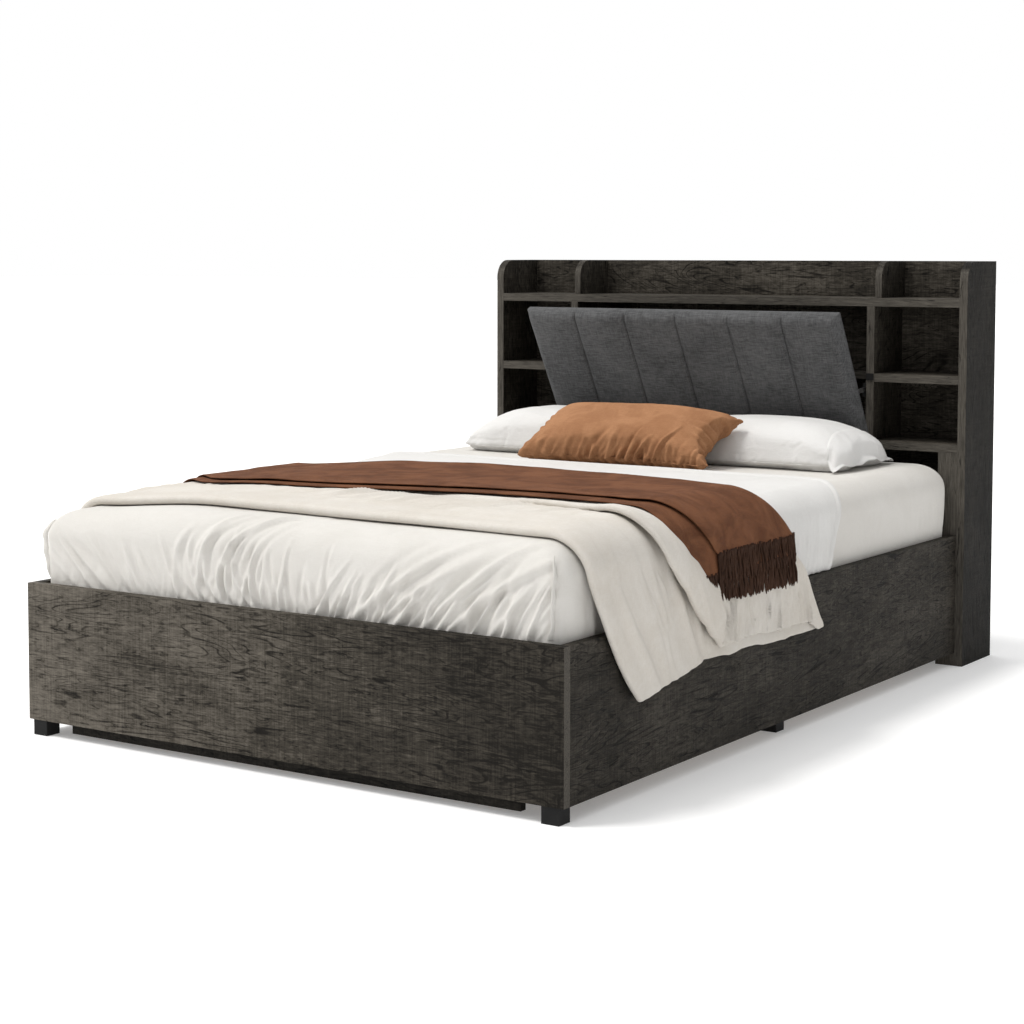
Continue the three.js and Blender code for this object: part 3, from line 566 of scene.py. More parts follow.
def finish_cad_nodes():
    """Gives the solids of boards, beams, metal and plastic their materials and worn edges."""
    kinds = {part["node"]: part["material_slot"] for part in frame["record"]["subparts"]}
    shared = {"black_plastic": moulded_plastic("black_plastic_moulded"),
              "steel": plated_steel("steel_plated", "x")}
    woods = {grain: softwood("softwood_" + grain, grain) for grain in "xy"}
    for index, (name, node) in enumerate(sorted(NODES.items())):
        kind = kinds[name]
        if kind == "laminate":
            place = (1.37 * index, 0.61 * index, 0.23 * index)
            # Each board's lightness paints light or shade into its laminate colour, as listed in the table
            material = laminate("laminate_" + name, GRAIN_OF.get(name, "x"), EDGE_BANDED.get(name), place,
                                PAINTED_LIGHT_AND_SHADE_OF.get(name, 1.0), DRIFT_OF.get(name, 0.0))
        elif kind == "softwood":
            material = woods["y" if name in LONG_BEAMS else "x"]
        elif kind in shared:
            material = shared[kind]
        else:
            continue
        for slot in node.material_slots:
            slot.material = material
        soften_edges(node, METAL_BEVEL if kind == "steel" else BOARD_BEVEL)


# ---------------------------------------------------------------- the mattress and what lies over it
# In metres: X across the bed, Y along it from the foot end at -FIT_Y, Z up. ROUND is the radius of the mattress's
# shoulders, BULGE how far its sides swell over the rails, and TO_FLOOR the cloth from its middle to the floor
MATTRESS_LOW, MATTRESS_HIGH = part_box("mattress")
ROUND = 0.070
BULGE = 0.006
HALF = MATTRESS_HIGH.x - BULGE
FLAT = MATTRESS_HIGH.x - ROUND
TOP = MATTRESS_HIGH.z
SHOULDER_Z = TOP - ROUND
BOTTOM = MATTRESS_LOW.z
RAIL_TOP = 0.345
FOOT_EDGE = -1.0415
HEAD_EDGE = 0.8635
CORNER = 0.034
FIT_Y = 1.0675
LEFT_SETTLE = 0.026
ARC = ROUND * QUARTER
TO_FLOOR = FLAT + ARC + SHOULDER_Z
MIDDLE_Y = (FOOT_EDGE + HEAD_EDGE) / 2
# Points along the right side, head end, left side and foot end, and round each corner
RING_COUNTS = (300, 110, 230, 400)
RING_CORNER_COUNT = 12
# The last ring lies folded on the middle line, and its points are joined over this distance
FOLDED_RING_JOIN = 0.0004


def corner_radius(outset):
    """The corners get sharper where the outline is drawn in."""
    return np.clip(CORNER + np.minimum(outset, 0) * 0.35, 0.0006, CORNER)


def mattress_ring(outset):
    """Points and outward directions round the mattress, anticlockwise from the right foot corner."""
    radius = corner_radius(outset)
    half_x = max(0.0, HALF + outset - radius)
    foot = min(FOOT_EDGE - outset + radius, MIDDLE_Y - 0.2)
    head = max(HEAD_EDGE + min(outset, 0.0) - radius, MIDDLE_Y + 0.2)
    corners = [(half_x, foot), (half_x, head), (-half_x, head), (-half_x, foot)]
    points, normals = [], []
    for index, count in enumerate(RING_COUNTS):
        here, there = corners[index], corners[(index + 1) % 4]
        angle = QUARTER * index
        facing = np.array([math.cos(angle), math.sin(angle)])
        start = np.array(here) + facing * radius
        end = np.array(there) + facing * radius
        share = np.linspace(0, 1, count, endpoint=False)[:, None]
        points.append(start + (end - start) * share)
        normals.append(np.repeat(facing[None], count, 0))
        angles = angle + QUARTER * np.arange(RING_CORNER_COUNT) / RING_CORNER_COUNT
        directions = np.stack([np.cos(angles), np.sin(angles)], -1)
        points.append(np.array(there) + directions * radius)
        normals.append(directions)
    return np.concatenate(points), np.concatenate(normals)


def mattress_profile():
    """Rows of (outset, height, lean of the surface from upright, distance up from the rail)."""
    rows = [(-0.025, BOTTOM, -QUARTER), (-0.0075, BOTTOM + 0.0075, -0.8), (0.0, BOTTOM + 0.025, 0.0),
            (0.0, BOTTOM + 0.045, 0.0)]
    for z in np.linspace(RAIL_TOP - 0.004, SHOULDER_Z, 24):
        share = np.clip((z - RAIL_TOP) / (SHOULDER_Z - RAIL_TOP), 0, 1)
        rows.append((BULGE * math.sin(QUARTER * share), z, 0.0))
    for angle in np.linspace(0, QUARTER, 17)[1:]:
        rows.append((BULGE - ROUND * (1 - math.cos(angle)), SHOULDER_Z + ROUND * math.sin(angle), angle))
    inset = -ROUND + BULGE
    for step in [0.008] * 22 + [0.03] * 6 + [0.055] * 4:
        inset -= step
        rows.append((inset, TOP, QUARTER))
    rows.append((-HALF, TOP, QUARTER))
    rows = np.array(rows)
    up = np.concatenate([[0], np.cumsum(np.hypot(np.diff(rows[:, 0]), np.diff(rows[:, 1])))])
    return rows, up - np.interp(RAIL_TOP, rows[:20, 1], up[:20])


FOOT_FOLDS = fold_strokes([(-0.60, -0.42, 8, -0.95, 0.3, 0.15, 0.24, 0.0042, 0.0075),
                           (-0.44, -0.26, 10, -0.45, 0.5, 0.06, 0.17, 0.0036, 0.0062),
                           (-0.27, -0.04, 16, -0.75, 5.4, 0.15, 0.29, 0.0062, 0.0066),
                           (-0.22, 0.14, 26, -0.20, 2.4, 0.06, 0.19, 0.0052, 0.0050),
                           (0.08, 0.38, 22, 0.35, 2.2, 0.06, 0.16, 0.0050, 0.0050),
                           (0.16, 0.46, 15, 0.85, 3.2, 0.13, 0.27, 0.0054, 0.0062),
                           (0.40, 0.64, 15, 0.50, 1.8, 0.09, 0.22, 0.0056, 0.0056)], 5)
SIDE_FOLDS = fold_strokes([(-1.03, -0.90, 4, -0.25, 0.0, 0.08, 0.16, 0.0030, 0.0100),
                           (0.55, 0.84, 4, 0.15, 0.0, 0.06, 0.12, 0.0014, 0.0120)], 9)


def mattress_relief(points, facing, up):
    """How far the sheet stands off the plain form at each point of one ring."""
    x, y = points[:, 0], points[:, 1]
    on_foot = smooth(-facing[:, 1], 0.5, 0.95)
    on_side = smooth(np.abs(facing[:, 0]), 0.6, 0.95)
    foot = fold_relief(x, up, FOOT_FOLDS)
    gather = 0.0012 * ridges((x - 0.2 * up) / 0.016, up / 0.10, 23)
    gather = gather * smooth(up, -0.01, 0.01) * (1 - smooth(up, 0.02, 0.09))
    side = fold_relief(y, up, SIDE_FOLDS) + 0.0009 * ridges(y / 0.03, up / 0.2, 41) * (1 - smooth(up, 0.05, 0.16))
    swell = 0.0016 * noise(x / 0.22, y / 0.25, 53) + 0.0008 * noise(x / 0.07, y / 0.09, 59)
    pinch = np.hypot(np.abs(x) - HALF - 0.001, y - FOOT_EDGE + 0.001)
    dent = -0.004 * hump(pinch / 0.022) * smooth(up, -0.01, 0.03) * (1 - smooth(up, 0.12, 0.19))
    return (foot + gather) * on_foot + side * on_side + swell * smooth(up, 0.02, 0.12) + dent


def add_mattress(material):
    """Rings from under the mattress, up its sides and in over the top, closed by one face below."""
    profile, ups = mattress_profile()
    rings = []
    for (outset, z, lean), up in zip(profile, ups):
        plan, facing = mattress_ring(outset)
        relief = mattress_relief(plan, facing, up)
        if lean >= QUARTER and up > 0.25:
            relief = relief * max(0.0, 1 - up / 0.5)
        relief = relief * (1 - smooth(facing[:, 1], 0.2, 0.7)) - 0.0004
        if up < -0.02:
            relief = relief * 0
        out = facing * (relief * math.cos(lean))[:, None]
        rings.append(np.column_stack([plan + out, z + relief * math.sin(lean)]))
    rows, columns = len(rings), len(rings[0])
    faces = grid_faces(rows, columns, wrap=True).tolist()
    faces.append(list(range(columns - 1, -1, -1)))
    piece = add_piece("mattress_in_sheet", settled(np.concatenate(rings)), faces, material,
                      slot="white_cotton", join=FOLDED_RING_JOIN)
    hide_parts("mattress")


def settled(points):
    """The bedding lies a little lower towards the left shoulder of the mattress."""
    x, y, z = points[..., 0], points[..., 1], points[..., 2]
    drop = LEFT_SETTLE * smooth(-x, 0.25, 0.68) * (1 - smooth(y + FIT_Y, 0.85, 1.30))
    moved = points.copy()
    moved[..., 2] = z - drop * smooth(z, RAIL_TOP + 0.02, TOP)
    return moved


def side_of(across):
    return np.where(across < 0, -1.0, 1.0)


def below_shoulder(across):
    """How far down the mattress's side a place on the cloth lies, or less than 0 on the top."""
    return np.abs(across) - FLAT - ARC


def section(across, lift, hang_x):
    """Places in X and Z of cloth over the mattress, from the distance along it from the middle."""
    away = np.abs(across)
    turn = np.clip((away - FLAT) / ROUND, 0, QUARTER)
    radius = ROUND + lift
    x = np.minimum(away, FLAT) + radius * np.sin(turn)
    down = np.maximum(below_shoulder(across), 0)
    x = lerp(x, hang_x, smooth(down, 0.0, 0.10)) if hang_x is not None else x
    z = SHOULDER_Z + radius * np.cos(turn) - down
    return side_of(across) * x, z


def over_mattress(across, y, lift, hang_x=None):
    x, z = section(across, lift, hang_x)
    return np.stack([x, y + 0 * x, z], -1)


# Edges are given as (distance across the cloth from the middle, place along the bed from its foot end), and the
# hem as (place along the bed, height)
HANG_X = 0.7135
QUILT_LIFT = 0.0006
QUILT_THICK = 0.008
BLANKET_LIFT = 0.0092
BLANKET_DROP = 0.0065
BLANKET_LOWEST = 0.215
BLANKET_TURN_UP = 0.027
BLANKET_FOOT = [(-1.00, 0.245), (-0.84, 0.190), (-0.74, 0.168), (-0.62, 0.150), (-0.30, 0.130), (0.0, 0.1155),
                (0.30, 0.098), (0.60, 0.086), (0.672, 0.089), (0.742, 0.110), (0.794, 0.126), (0.838, 0.150),
                (0.895, 0.192), (0.987, 0.262)]
BLANKET_HEAD = [(-1.00, 1.07), (-0.84, 0.97), (-0.68, 0.866), (0.0, 0.895), (0.58, 0.835), (0.68, 0.815),
                (0.74, 0.865), (0.80, 0.938), (0.85, 0.992), (0.953, 1.069), (1.0, 1.10)]
BLANKET_CREASE = [(-1.0, 0.50), (-0.6, 0.44), (0.0, 0.390), (0.136, 0.380), (0.321, 0.368), (0.483, 0.349),
                  (0.596, 0.318), (0.65, 0.305), (0.70, 0.325), (0.768, 0.384), (0.868, 0.468), (0.956, 0.548),
                  (1.0, 0.585)]
BLANKET_HEM = [(0.20, 0.198), (0.244, 0.199), (0.33, 0.212), (0.42, 0.224), (0.505, 0.236), (0.65, 0.234),
               (0.85, 0.230), (1.0, 0.229), (1.10, 0.232)]
LAYER = 0.0068
LAYER_GAP = 0.0008
BAND_RISE = 0.002
CREASE_SPREAD = 0.030

# The quilt starts under the blanket
QUILT_FOOT = 0.145 * 1.905 + 0.026
QUILT_HEAD = [(-0.85, 1.185), (-0.73, 1.262), (-0.60, 1.310), (-0.3, 1.322), (0.0, 1.322), (0.45, 1.322),
              (0.56, 1.322), (0.63, 1.300), (0.70, 1.262), (0.78, 1.222), (0.85, 1.192)]
QUILT_FOLDS = fold_strokes([(-0.16, 0.10, 10, 0.05, 0.0, 0.10, 0.26, 0.0022, 0.0060),
                            (-0.02, 0.16, 7, 0.12, 0.3, 0.06, 0.20, 0.0018, 0.0050)], 33)


def add_quilt(material):
    """Quilt from under the blanket to its head edge, tucked in behind the rails at both sides."""
    v = spaced(250, 1.0, 0.004)[:, None]
    u = spaced(220, 2.0, 0.004)[None, :] * 2 - 1
    width = FLAT + ARC + (SHOULDER_Z - RAIL_TOP - 0.0015)
    across = u * width + 0 * v
    y = lerp(QUILT_FOOT, table(across, QUILT_HEAD), v) - FIT_Y
    hanging = smooth(np.abs(across) - FLAT, 0.02, 0.14)
    on_top = 1 - hanging
    middle = over_mattress(across, y, QUILT_LIFT + QUILT_THICK / 2)
    ripple = fold_relief(y, 0 * y + (width - np.abs(across)), QUILT_FOLDS)
    ripple = ripple + 0.0006 * ridges(y / 0.016, across / 0.18, 73) * hanging
    slack = 0.0012 * noise(across / 0.16, y / 0.05, 77) * on_top
    slack = slack + 0.0010 * noise(across / 0.5, y / 0.10, 79) * on_top
    hem_roll = 0.0042 * smooth(v, 0.975, 0.988) * (1 - smooth(v, 0.995, 1.0))
    relief = (np.maximum(ripple, -0.0006) + np.maximum(slack, -0.0006)) * smooth(y, -0.17, -0.12) + hem_roll
    middle = middle + normals_up(middle, len(middle) // 2) * relief[..., None]
    points, faces = thick_sheet(settled(middle), QUILT_THICK - 0.0026)
    piece = add_piece("quilt_cover", points, faces, material, slot="white_cotton", join=SAME_POINT)
    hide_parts("quilt")


BLANKET_HEM_FOLDS = fold_strokes([(0.55, 0.72, 14, 0.12, 0.0, 0.06, 0.18, 0.0060, 0.0050),
                                  (0.70, 1.02, 18, 0.10, 0.0, 0.05, 0.19, 0.0058, 0.0056)], 21)
BLANKET_FALLS = fold_strokes([(0.13, 0.30, 4, 0.45, 0.0, 0.30, 0.42, 0.0060, 0.0170),
                              (0.26, 0.40, 3, 0.50, 0.0, 0.18, 0.32, 0.0050, 0.0130),
                              (0.14, 0.36, 8, 0.55, 0.0, 0.05, 0.14, 0.0028, 0.0070),
                              (0.42, 0.60, 4, 0.40, 0.0, 0.14, 0.26, 0.0048, 0.0120)], 27)
BLANKET_CREASES = fold_strokes([(-0.50, 0.10, 9, -0.9, 0.0, 0.08, 0.20, 0.0028, 0.0090),
                                (0.0, 0.62, 20, -1.1, 0.0, 0.08, 0.24, 0.0046, 0.0070)], 37)
# Rows of the folded blanket, from its hidden edge round the foot edge and the crease to the head edge
BLANKET_RUNS = (("under", 60), ("roll", 8), ("foot_band", 90), ("tuck", 7), ("back", 8), ("lip", 10),
                ("head_band", 170))
THROW_RUNS = (("under", 90), ("fold", 8), ("over", 84))


def row_kinds(runs):
    """Each row's kind, and its share within its run."""
    return [(kind, (index + 0.5) / count) for kind, count in runs for index in range(count)]


def half_turn(share):
    """Angle from a quarter turn down to a quarter turn up."""
    return -QUARTER + math.pi * share


def blanket_place(across):
    """Where the blanket's middle surface lies: place along the bed and lift off the mattress, row by row.
    At the crease the foot band tucks back under the head band, which starts with a rolled lip."""
    foot, head, crease = (table(across, pairs) for pairs in (BLANKET_FOOT, BLANKET_HEAD, BLANKET_CREASE))
    shown = smooth(across, 0.08, 0.50)
    deep = smooth(across, 0.50, 0.80) * (1 - 0.80 * smooth(across, 0.90, 1.00))
    tuck = lerp(0.012, 0.060, deep) * shown
    low = BLANKET_LIFT + LAYER / 2
    high = low + LAYER + LAYER_GAP
    roll = (high - low) / 2
    bend = lerp(0.0030, 0.0125, deep) * shown
    lip = lerp(0.0026, 0.0058, deep) * shown
    places, lifts = [], []
    for kind, share in row_kinds(BLANKET_RUNS):
        angle = half_turn(share)
        if kind == "under":
            y, lift = lerp(head - 0.006, foot + roll, share), low
        elif kind == "roll":
            y = foot + roll - (roll + 0.004) * math.cos(angle)
            lift = (low + high) / 2 + (roll + 0.002) * math.sin(angle) + 0.002
        elif kind == "foot_band":
            y = lerp(foot + roll, lerp(crease, crease + tuck, shown), share)
            lift = high + BAND_RISE + 0.0036 * math.sin(math.pi * share ** 0.55) ** 0.8
        elif kind == "head_band":
            y = lerp(crease + lip, head, share)
            settle = smooth(np.clip(y - crease - 0.5 * tuck, 0, None), 0.0, lerp(0.035, 0.12, deep))
            lift = high + BAND_RISE + (2 * bend + 2 * lip) * (1 - settle) + 0.0022 * settle
            y = lerp(lerp(crease + CREASE_SPREAD, head, share), y, shown)
        else:
            flat_y = crease + CREASE_SPREAD * (("tuck", "back", "lip").index(kind) + share) / 3.0
            if kind == "tuck":
                y = crease + tuck + bend * math.cos(angle)
                lift = high + BAND_RISE + bend + bend * math.sin(angle)
            elif kind == "back":
                y = lerp(crease + tuck, crease + lip, share)
                lift = high + BAND_RISE + 2 * bend
            else:
                y = crease + lip - lip * math.cos(angle)
                lift = high + BAND_RISE + 2 * bend + lip + lip * math.sin(angle)
            y = lerp(flat_y, y, shown)
        places.append(y)
        lifts.append(lift + 0 * foot)
    return np.array(places), np.array(lifts)


def add_blanket(material):
    """Blanket folded in two bands, with one long fall of folds and a turned edge on its right side, where it
    hangs.
    """
    u = spaced(300, 2.0, 0.003) * 2 - 1
    y, lift = blanket_place(u * (TO_FLOOR - BLANKET_LOWEST))
    kinds = [kind for kind, _ in row_kinds(BLANKET_RUNS)]
    upper = np.array([{"under": 0.0, "roll": 0.5}.get(kind, 1.0) for kind in kinds])[:, None]
    band = np.array([kind == "head_band" for kind in kinds])[:, None]
    turned = smooth(y, 0.50, 0.58) * (1 - smooth(y, 0.99, 1.06)) * upper
    ragged = 0.0035 * noise(y / 0.055, 0.3, 83) + 0.0015 * noise(y / 0.02, 0.7, 85)
    hem = table(y, BLANKET_HEM) + ragged + BLANKET_TURN_UP * turned * (u > 0)[None, :]
    length = TO_FLOOR - hem
    across = u[None, :] * length
    down = below_shoulder(across)
    hanging = smooth(down, -0.06, 0.10)
    share_down = np.clip(down / 0.26, 0, 1)
    hang_x = HANG_X + (lift - BLANKET_LIFT) * 0.80 + 0.0006
    middle = over_mattress(across, y - FIT_Y, lift, hang_x)
    normals = normals_up(middle, kinds.index("head_band") + 3)
    wave = 0.0085 * (noise((y + 0.10 * down) / 0.105, 0.2 + share_down, 91) + 0.55) * share_down
    small = 0.0022 * (ridges((y + 0.16 * down) / 0.024, share_down * 1.2, 93) + 0.2)
    wave = wave + small * share_down * (0.4 + 0.6 * band)
    edge = y - table(across, BLANKET_CREASE)
    wave = wave * (1 - hump((edge + 0.014) / 0.030) * (1 - band))
    hem_folds = fold_relief(y, np.maximum(length - np.abs(across), 0) + 0 * y, BLANKET_HEM_FOLDS)
    falls = fold_relief(y, np.maximum(down, 0) + 0 * y, BLANKET_FALLS)
    wave = wave + hem_folds * band * hanging + 0.001
    wave = wave + falls * hanging
    outward = np.zeros_like(middle)
    outward[..., 0] = side_of(across) * np.maximum(wave, 0.0) * hanging
    slant = y - table(across, BLANKET_FOOT)
    sag = 0.0046 * ridges(slant / 0.048, across / 0.42, 95) + 0.0016 * noise(slant / 0.021, across / 0.25, 97)
    sag = sag * lerp(0.45, 1.0, smooth(across, -0.25, 0.25))
    sag = np.maximum(sag, -0.0024) * upper * (1 - hanging * 0.6)
    under_throw = smooth(y, 0.36, 0.42) * (1 - smooth(down, -0.04, 0.05))
    sag = sag * (1 - 0.85 * under_throw * band)
    creases = fold_relief(across, table(across, BLANKET_CREASE) - y, BLANKET_CREASES, 0.03)
    sag = sag + np.maximum(creases, -0.0015) * upper * (1 - band) * (1 - hanging)
    middle = middle + outward + normals * sag[..., None]
    middle[..., 2] -= BLANKET_DROP * (1 - smooth(y, 0.25, 0.31)) * (1 - smooth(down, -0.10, 0.0))
    points, faces = thick_sheet(settled(middle), LAYER * lerp(1.0, 0.82, hanging))
    piece = add_piece("blanket_folded", points, faces, material, slot="cream_cotton", join=SAME_POINT)
    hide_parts("blanket")


# The throw is folded lengthwise at its head side, with the upper width laid a strip back from the foot side.
# It sinks to the quilt past the blanket's head edge.
THROW_LIFT = 0.0318
THROW_LAYER = 0.0040
THROW_GAP = 0.0009
THROW_FOOT = [(-0.95, 0.66), (-0.80, 0.58), (-0.70, 0.50), (-0.62, 0.452), (-0.50, 0.362), (-0.36, 0.316),
              (-0.165, 0.315), (0.05, 0.372), (0.266, 0.420), (0.434, 0.427), (0.56, 0.419), (0.622, 0.404),
              (0.69, 0.398), (0.74, 0.430), (0.80, 0.497), (0.86, 0.560)]
THROW_FOLD = [(-0.95, 0.69), (-0.80, 0.61), (-0.70, 0.525), (-0.62, 0.460), (-0.50, 0.380), (-0.36, 0.344),
              (-0.165, 0.356), (0.05, 0.415), (0.266, 0.465), (0.434, 0.476), (0.56, 0.470), (0.622, 0.458),
              (0.69, 0.469), (0.74, 0.512), (0.80, 0.590), (0.86, 0.665)]
THROW_HEAD = [(-0.95, 1.04), (-0.80, 0.98), (-0.62, 0.86), (-0.46, 0.84), (-0.277, 0.865), (-0.077, 0.930),
              (0.10, 0.945), (0.239, 0.930), (0.496, 0.850), (0.60, 0.832), (0.64, 0.824), (0.70, 0.864),
              (0.755, 0.906), (0.81, 0.969), (0.86, 1.0)]
THROW_HEM = 0.415
THROW_SIDE_X = 0.7281
# The upper layer's end hangs this much less far down than the lower one's
THROW_UPPER_RISE = 0.043
THROW_SINK = 0.0195
FRINGE_PITCH = 0.0026
STRAND_RINGS, STRAND_SIDES = 11, 6


def add_throw(material, fringe_material):
    u = spaced(250, 2.0, 0.003) * 2 - 1
    reach = TO_FLOOR - THROW_HEM
    reach_row = u * reach
    foot, fold, head = (table(reach_row, pairs) for pairs in (THROW_FOOT, THROW_FOLD, THROW_HEAD))
    low = THROW_LIFT + THROW_LAYER / 2
    high = low + THROW_LAYER + THROW_GAP
    bend = (high - low) / 2
    plump = lerp(0.0010, 0.0036, smooth(reach_row, 0.52, 0.68))
    places, lifts, upper = [], [], []
    for kind, share in row_kinds(THROW_RUNS):
        if kind == "under":
            row = lerp(foot, head - bend, share), low, 0.0
        elif kind == "fold":
            angle = half_turn(share)
            row = head - bend + (bend + 0.001) * math.cos(angle), low + bend + bend * math.sin(angle), share
        else:
            row = lerp(head - bend, fold, share), high + plump * smooth(share, 0.55, 0.97), 1.0
        places.append(row[0])
        lifts.append(row[1] + 0 * foot)
        upper.append(row[2])
    y, lift, upper = np.array(places), np.array(lifts), np.array(upper)[:, None]
    beyond_blanket = y - table(reach_row, BLANKET_HEAD)
    lift = lift - THROW_SINK * smooth(beyond_blanket, 0.004, 0.048)
    length = reach - THROW_UPPER_RISE * upper + 0.003 * noise(y / 0.09, 0.4 + upper, 101)
    across = u[None, :] * length
    down = below_shoulder(across)
    hanging = smooth(down, -0.05, 0.06)
    middle = over_mattress(across, y - FIT_Y, lift, THROW_SIDE_X + (lift - THROW_LIFT) + 0.0012)
    middle[..., 0] += side_of(across) * 0.010 * smooth(down, -0.02, 0.10)
    normals = normals_up(middle, 20) * np.where(upper < 0.5, 1.0, -1.0)[..., None]
    soft = 0.0013 * noise(across / 0.10, y / 0.045, 103)
    soft = soft + 0.0010 * noise((y - 0.3 * across) / 0.035, across / 0.3, 107)
    wave = 0.0022 * (noise(y / 0.05, across / 0.3, 109) + 0.4) * hanging
    relief = np.maximum(soft, -0.0005) * upper + wave * (0.5 + 0.5 * upper)
    middle = settled(middle + normals * relief[..., None])
    points, faces = thick_sheet(middle, THROW_LAYER - 0.0006)
    piece = add_piece("throw_folded", points, faces, material, slot="rust_wool", join=SAME_POINT)
    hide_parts("throw_blanket")
    fringe = add_fringe(middle, upper[:, 0], fringe_material)


def strand(start, outward, along, length, random):
    """One twisted strand that hangs from its start, as rings of points, with a knot near its end."""
    lean_along = random.normal(0, 0.07)
    lean_out = abs(random.normal(0.04, 0.05))
    curl = random.normal(0, 0.0022)
    phase = random.uniform(0, 6.28)
    radius = random.uniform(0.0016, 0.0022)
    points = []
    for index in range(STRAND_RINGS):
        t = index / (STRAND_RINGS - 1)
        drop = length * t
        sway = lean_along * drop + curl * math.sin(3.0 * t + phase)
        out = lean_out * drop + 0.0012 * math.sin(5 * t + phase)
        centre = start + along * sway + outward * out + np.array([0, 0, -drop])
        size = radius * (1.0 + 0.28 * math.sin(2 * math.pi * (t * length / 0.0075) + phase))
        size *= {STRAND_RINGS - 2: 1.25, STRAND_RINGS - 1: 0.55}.get(index, 1.0)
        for side in range(STRAND_SIDES):
            angle = 2 * math.pi * side / STRAND_SIDES + 9.0 * t
            points.append(centre + along * size * math.cos(angle) + outward * size * math.sin(angle))
    return np.array(points)


def add_fringe(middle, upper, material):
    """Two rows of twisted strands on each end of the throw, one for each layer."""
    random = np.random.default_rng(17)
    points, faces, first = [], [], 0
    along = np.array([0.0, 1.0, 0.0])
    for column, outward_x in ((0, -1.0), (-1, 1.0)):
        outward = np.array([outward_x, 0.0, 0.0])
        for in_layer in (upper < 0.5, upper >= 0.5):
            run = middle[in_layer, column]
            run = run[np.argsort(run[:, 1])]
            places = distances(run)
            for distance in np.arange(0.002, places[-1] - 0.002, FRINGE_PITCH):
                start = point_on(run, places, distance + random.uniform(-0.0010, 0.0010))
                start[2] += random.uniform(0.0005, 0.0060)
                start[0] += outward_x * random.uniform(0.0002, 0.0018)
                points.append(strand(start, outward, along, random.normal(0.0635, 0.0028), random))
                faces.append(grid_faces(STRAND_RINGS, STRAND_SIDES, first, wrap=True, flip=outward_x > 0))
                for ring, order in ((0, 1), (STRAND_RINGS - 1, -1)):
                    cap = np.array([[0, 1, 2, 3], [0, 3, 4, 5]]) + ring * STRAND_SIDES + first
                    faces.append(cap[:, ::order] if outward_x > 0 else cap[:, ::-order])
                first += STRAND_RINGS * STRAND_SIDES
    return add_piece("throw_fringe", np.concatenate(points), np.concatenate(faces), material,
                     slot="rust_wool", join=0)


# ---------------------------------------------------------------- pillows
# under: the share of the height below the seam; crown: powers of the swell across, along and in all; draw: how far
# the sides are drawn in; taper: what a closed end at -1 or 1 adds to the last power; cap: how far cloth may swell
PILLOW = {"width": 0.600, "depth": 0.360, "height": 0.118, "under": 0.12, "crown": (3.4, 3.0, 0.60),
          "draw": (0.075, 0.070), "taper": {-1: 0.30, 1: 0.06}, "pucker": 0.0020, "cap": 0.009}
LUMBAR = {"width": 0.565, "depth": 0.240, "height": 0.115, "under": 0.40, "crown": (2.6, 2.6, 0.56),
          "draw": (0.085, 0.070), "taper": {0: 0.0}, "pucker": 0.0030, "cap": 0.010}
LUMBAR_TILT = 28.0
SEAM = 0.004
RIM = 0.0068
SEAM_THREAD = 0.0013
SEAM_POINTS, SEAM_SIDES = 320, 6
VOXEL = 0.006
SWELL = {"quality": 4, "mass": 0.25, "tension_stiffness": 12, "compression_stiffness": 12, "shear_stiffness": 5,
         "bending_stiffness": 0.15, "use_pressure": True, "uniform_pressure_force": 4.0, "shrink_min": -0.035}
SWELL_FRAMES = 20


def pillow_plan(form, x, y, shrink=0.0, closed_end=0):
    """Plan of a pillow with sides drawn in between its corners, and rounder corners at the closed end."""
    half_x, half_y = form["width"] / 2 - shrink, form["depth"] / 2 - shrink
    draw_x, draw_y = form["draw"]
    at_end = smooth(x * closed_end, 0.55, 1.0)
    plan_x = half_x * x * (1 - draw_x * (1 - y * y)) * (1 - 0.13 * at_end * y ** 4)
    plan_x = plan_x * (1 - 0.12 * smooth(-x, 0.6, 1.0) * smooth(y, 0.3, 1.0) * (closed_end == 0))
    plan_y = half_y * y * (1 - draw_y * (1 - x * x)) * (1 - 0.10 * at_end)
    return plan_x, plan_y


def pillow_grid(form, columns, rows, shrink=0.0, closed_end=0, rim=SEAM):
    """Crowned pillow: upper and lower grids that share their border."""
    x = np.linspace(-1, 1, columns)[None, :]
    y = np.linspace(-1, 1, rows)[:, None]
    x, y = np.sin(QUARTER * x) * 0.35 + x * 0.65, np.sin(QUARTER * y) * 0.35 + y * 0.65
    plan_x, plan_y = pillow_plan(form, x, y, shrink, closed_end)
    power_x, power_y, round_power = form["crown"]
    full = round_power + form["taper"][closed_end] * smooth(x * closed_end, 0.2, 0.9)
    crown = ((1 - np.abs(x) ** power_x) * (1 - np.abs(y) ** power_y)) ** full
    height = form["height"] - SEAM - 2 * shrink
    upper = np.stack([plan_x + 0 * y, plan_y + 0 * x, rim / 2 + height * (1 - form["under"]) * crown], -1)
    lower = np.stack([plan_x + 0 * y, plan_y + 0 * x, -rim / 2 - height * form["under"] * crown], -1)
    return upper, lower


def inflate(piece, cap):
    """Remeshes the piece evenly and blows it up as cloth, with no point moved further than the cap."""
    remesh = piece.modifiers.new("remesh", "REMESH")
    remesh.mode = "VOXEL"
    remesh.voxel_size = VOXEL
    remesh.use_smooth_shade = True
    apply_modifiers(piece)
    start = read_vertices(piece.data)
    soft = piece.modifiers.new("cloth", "CLOTH")
    for name, value in SWELL.items():
        setattr(soft.settings, name, value)
    soft.settings.effector_weights.gravity = 0.0
    scene = bpy.context.scene
    for step in range(1, SWELL_FRAMES + 1):
        scene.frame_set(step)
    seen = piece.evaluated_get(bpy.context.evaluated_depsgraph_get())
    moved = read_vertices(seen.data) - start
    piece.modifiers.remove(soft)
    scene.frame_set(1)
    size = np.linalg.norm(moved, axis=1, keepdims=True)
    moved = moved * np.minimum(1.0, cap / np.maximum(size, 1e-9))
    write_points(piece.data, start + moved)


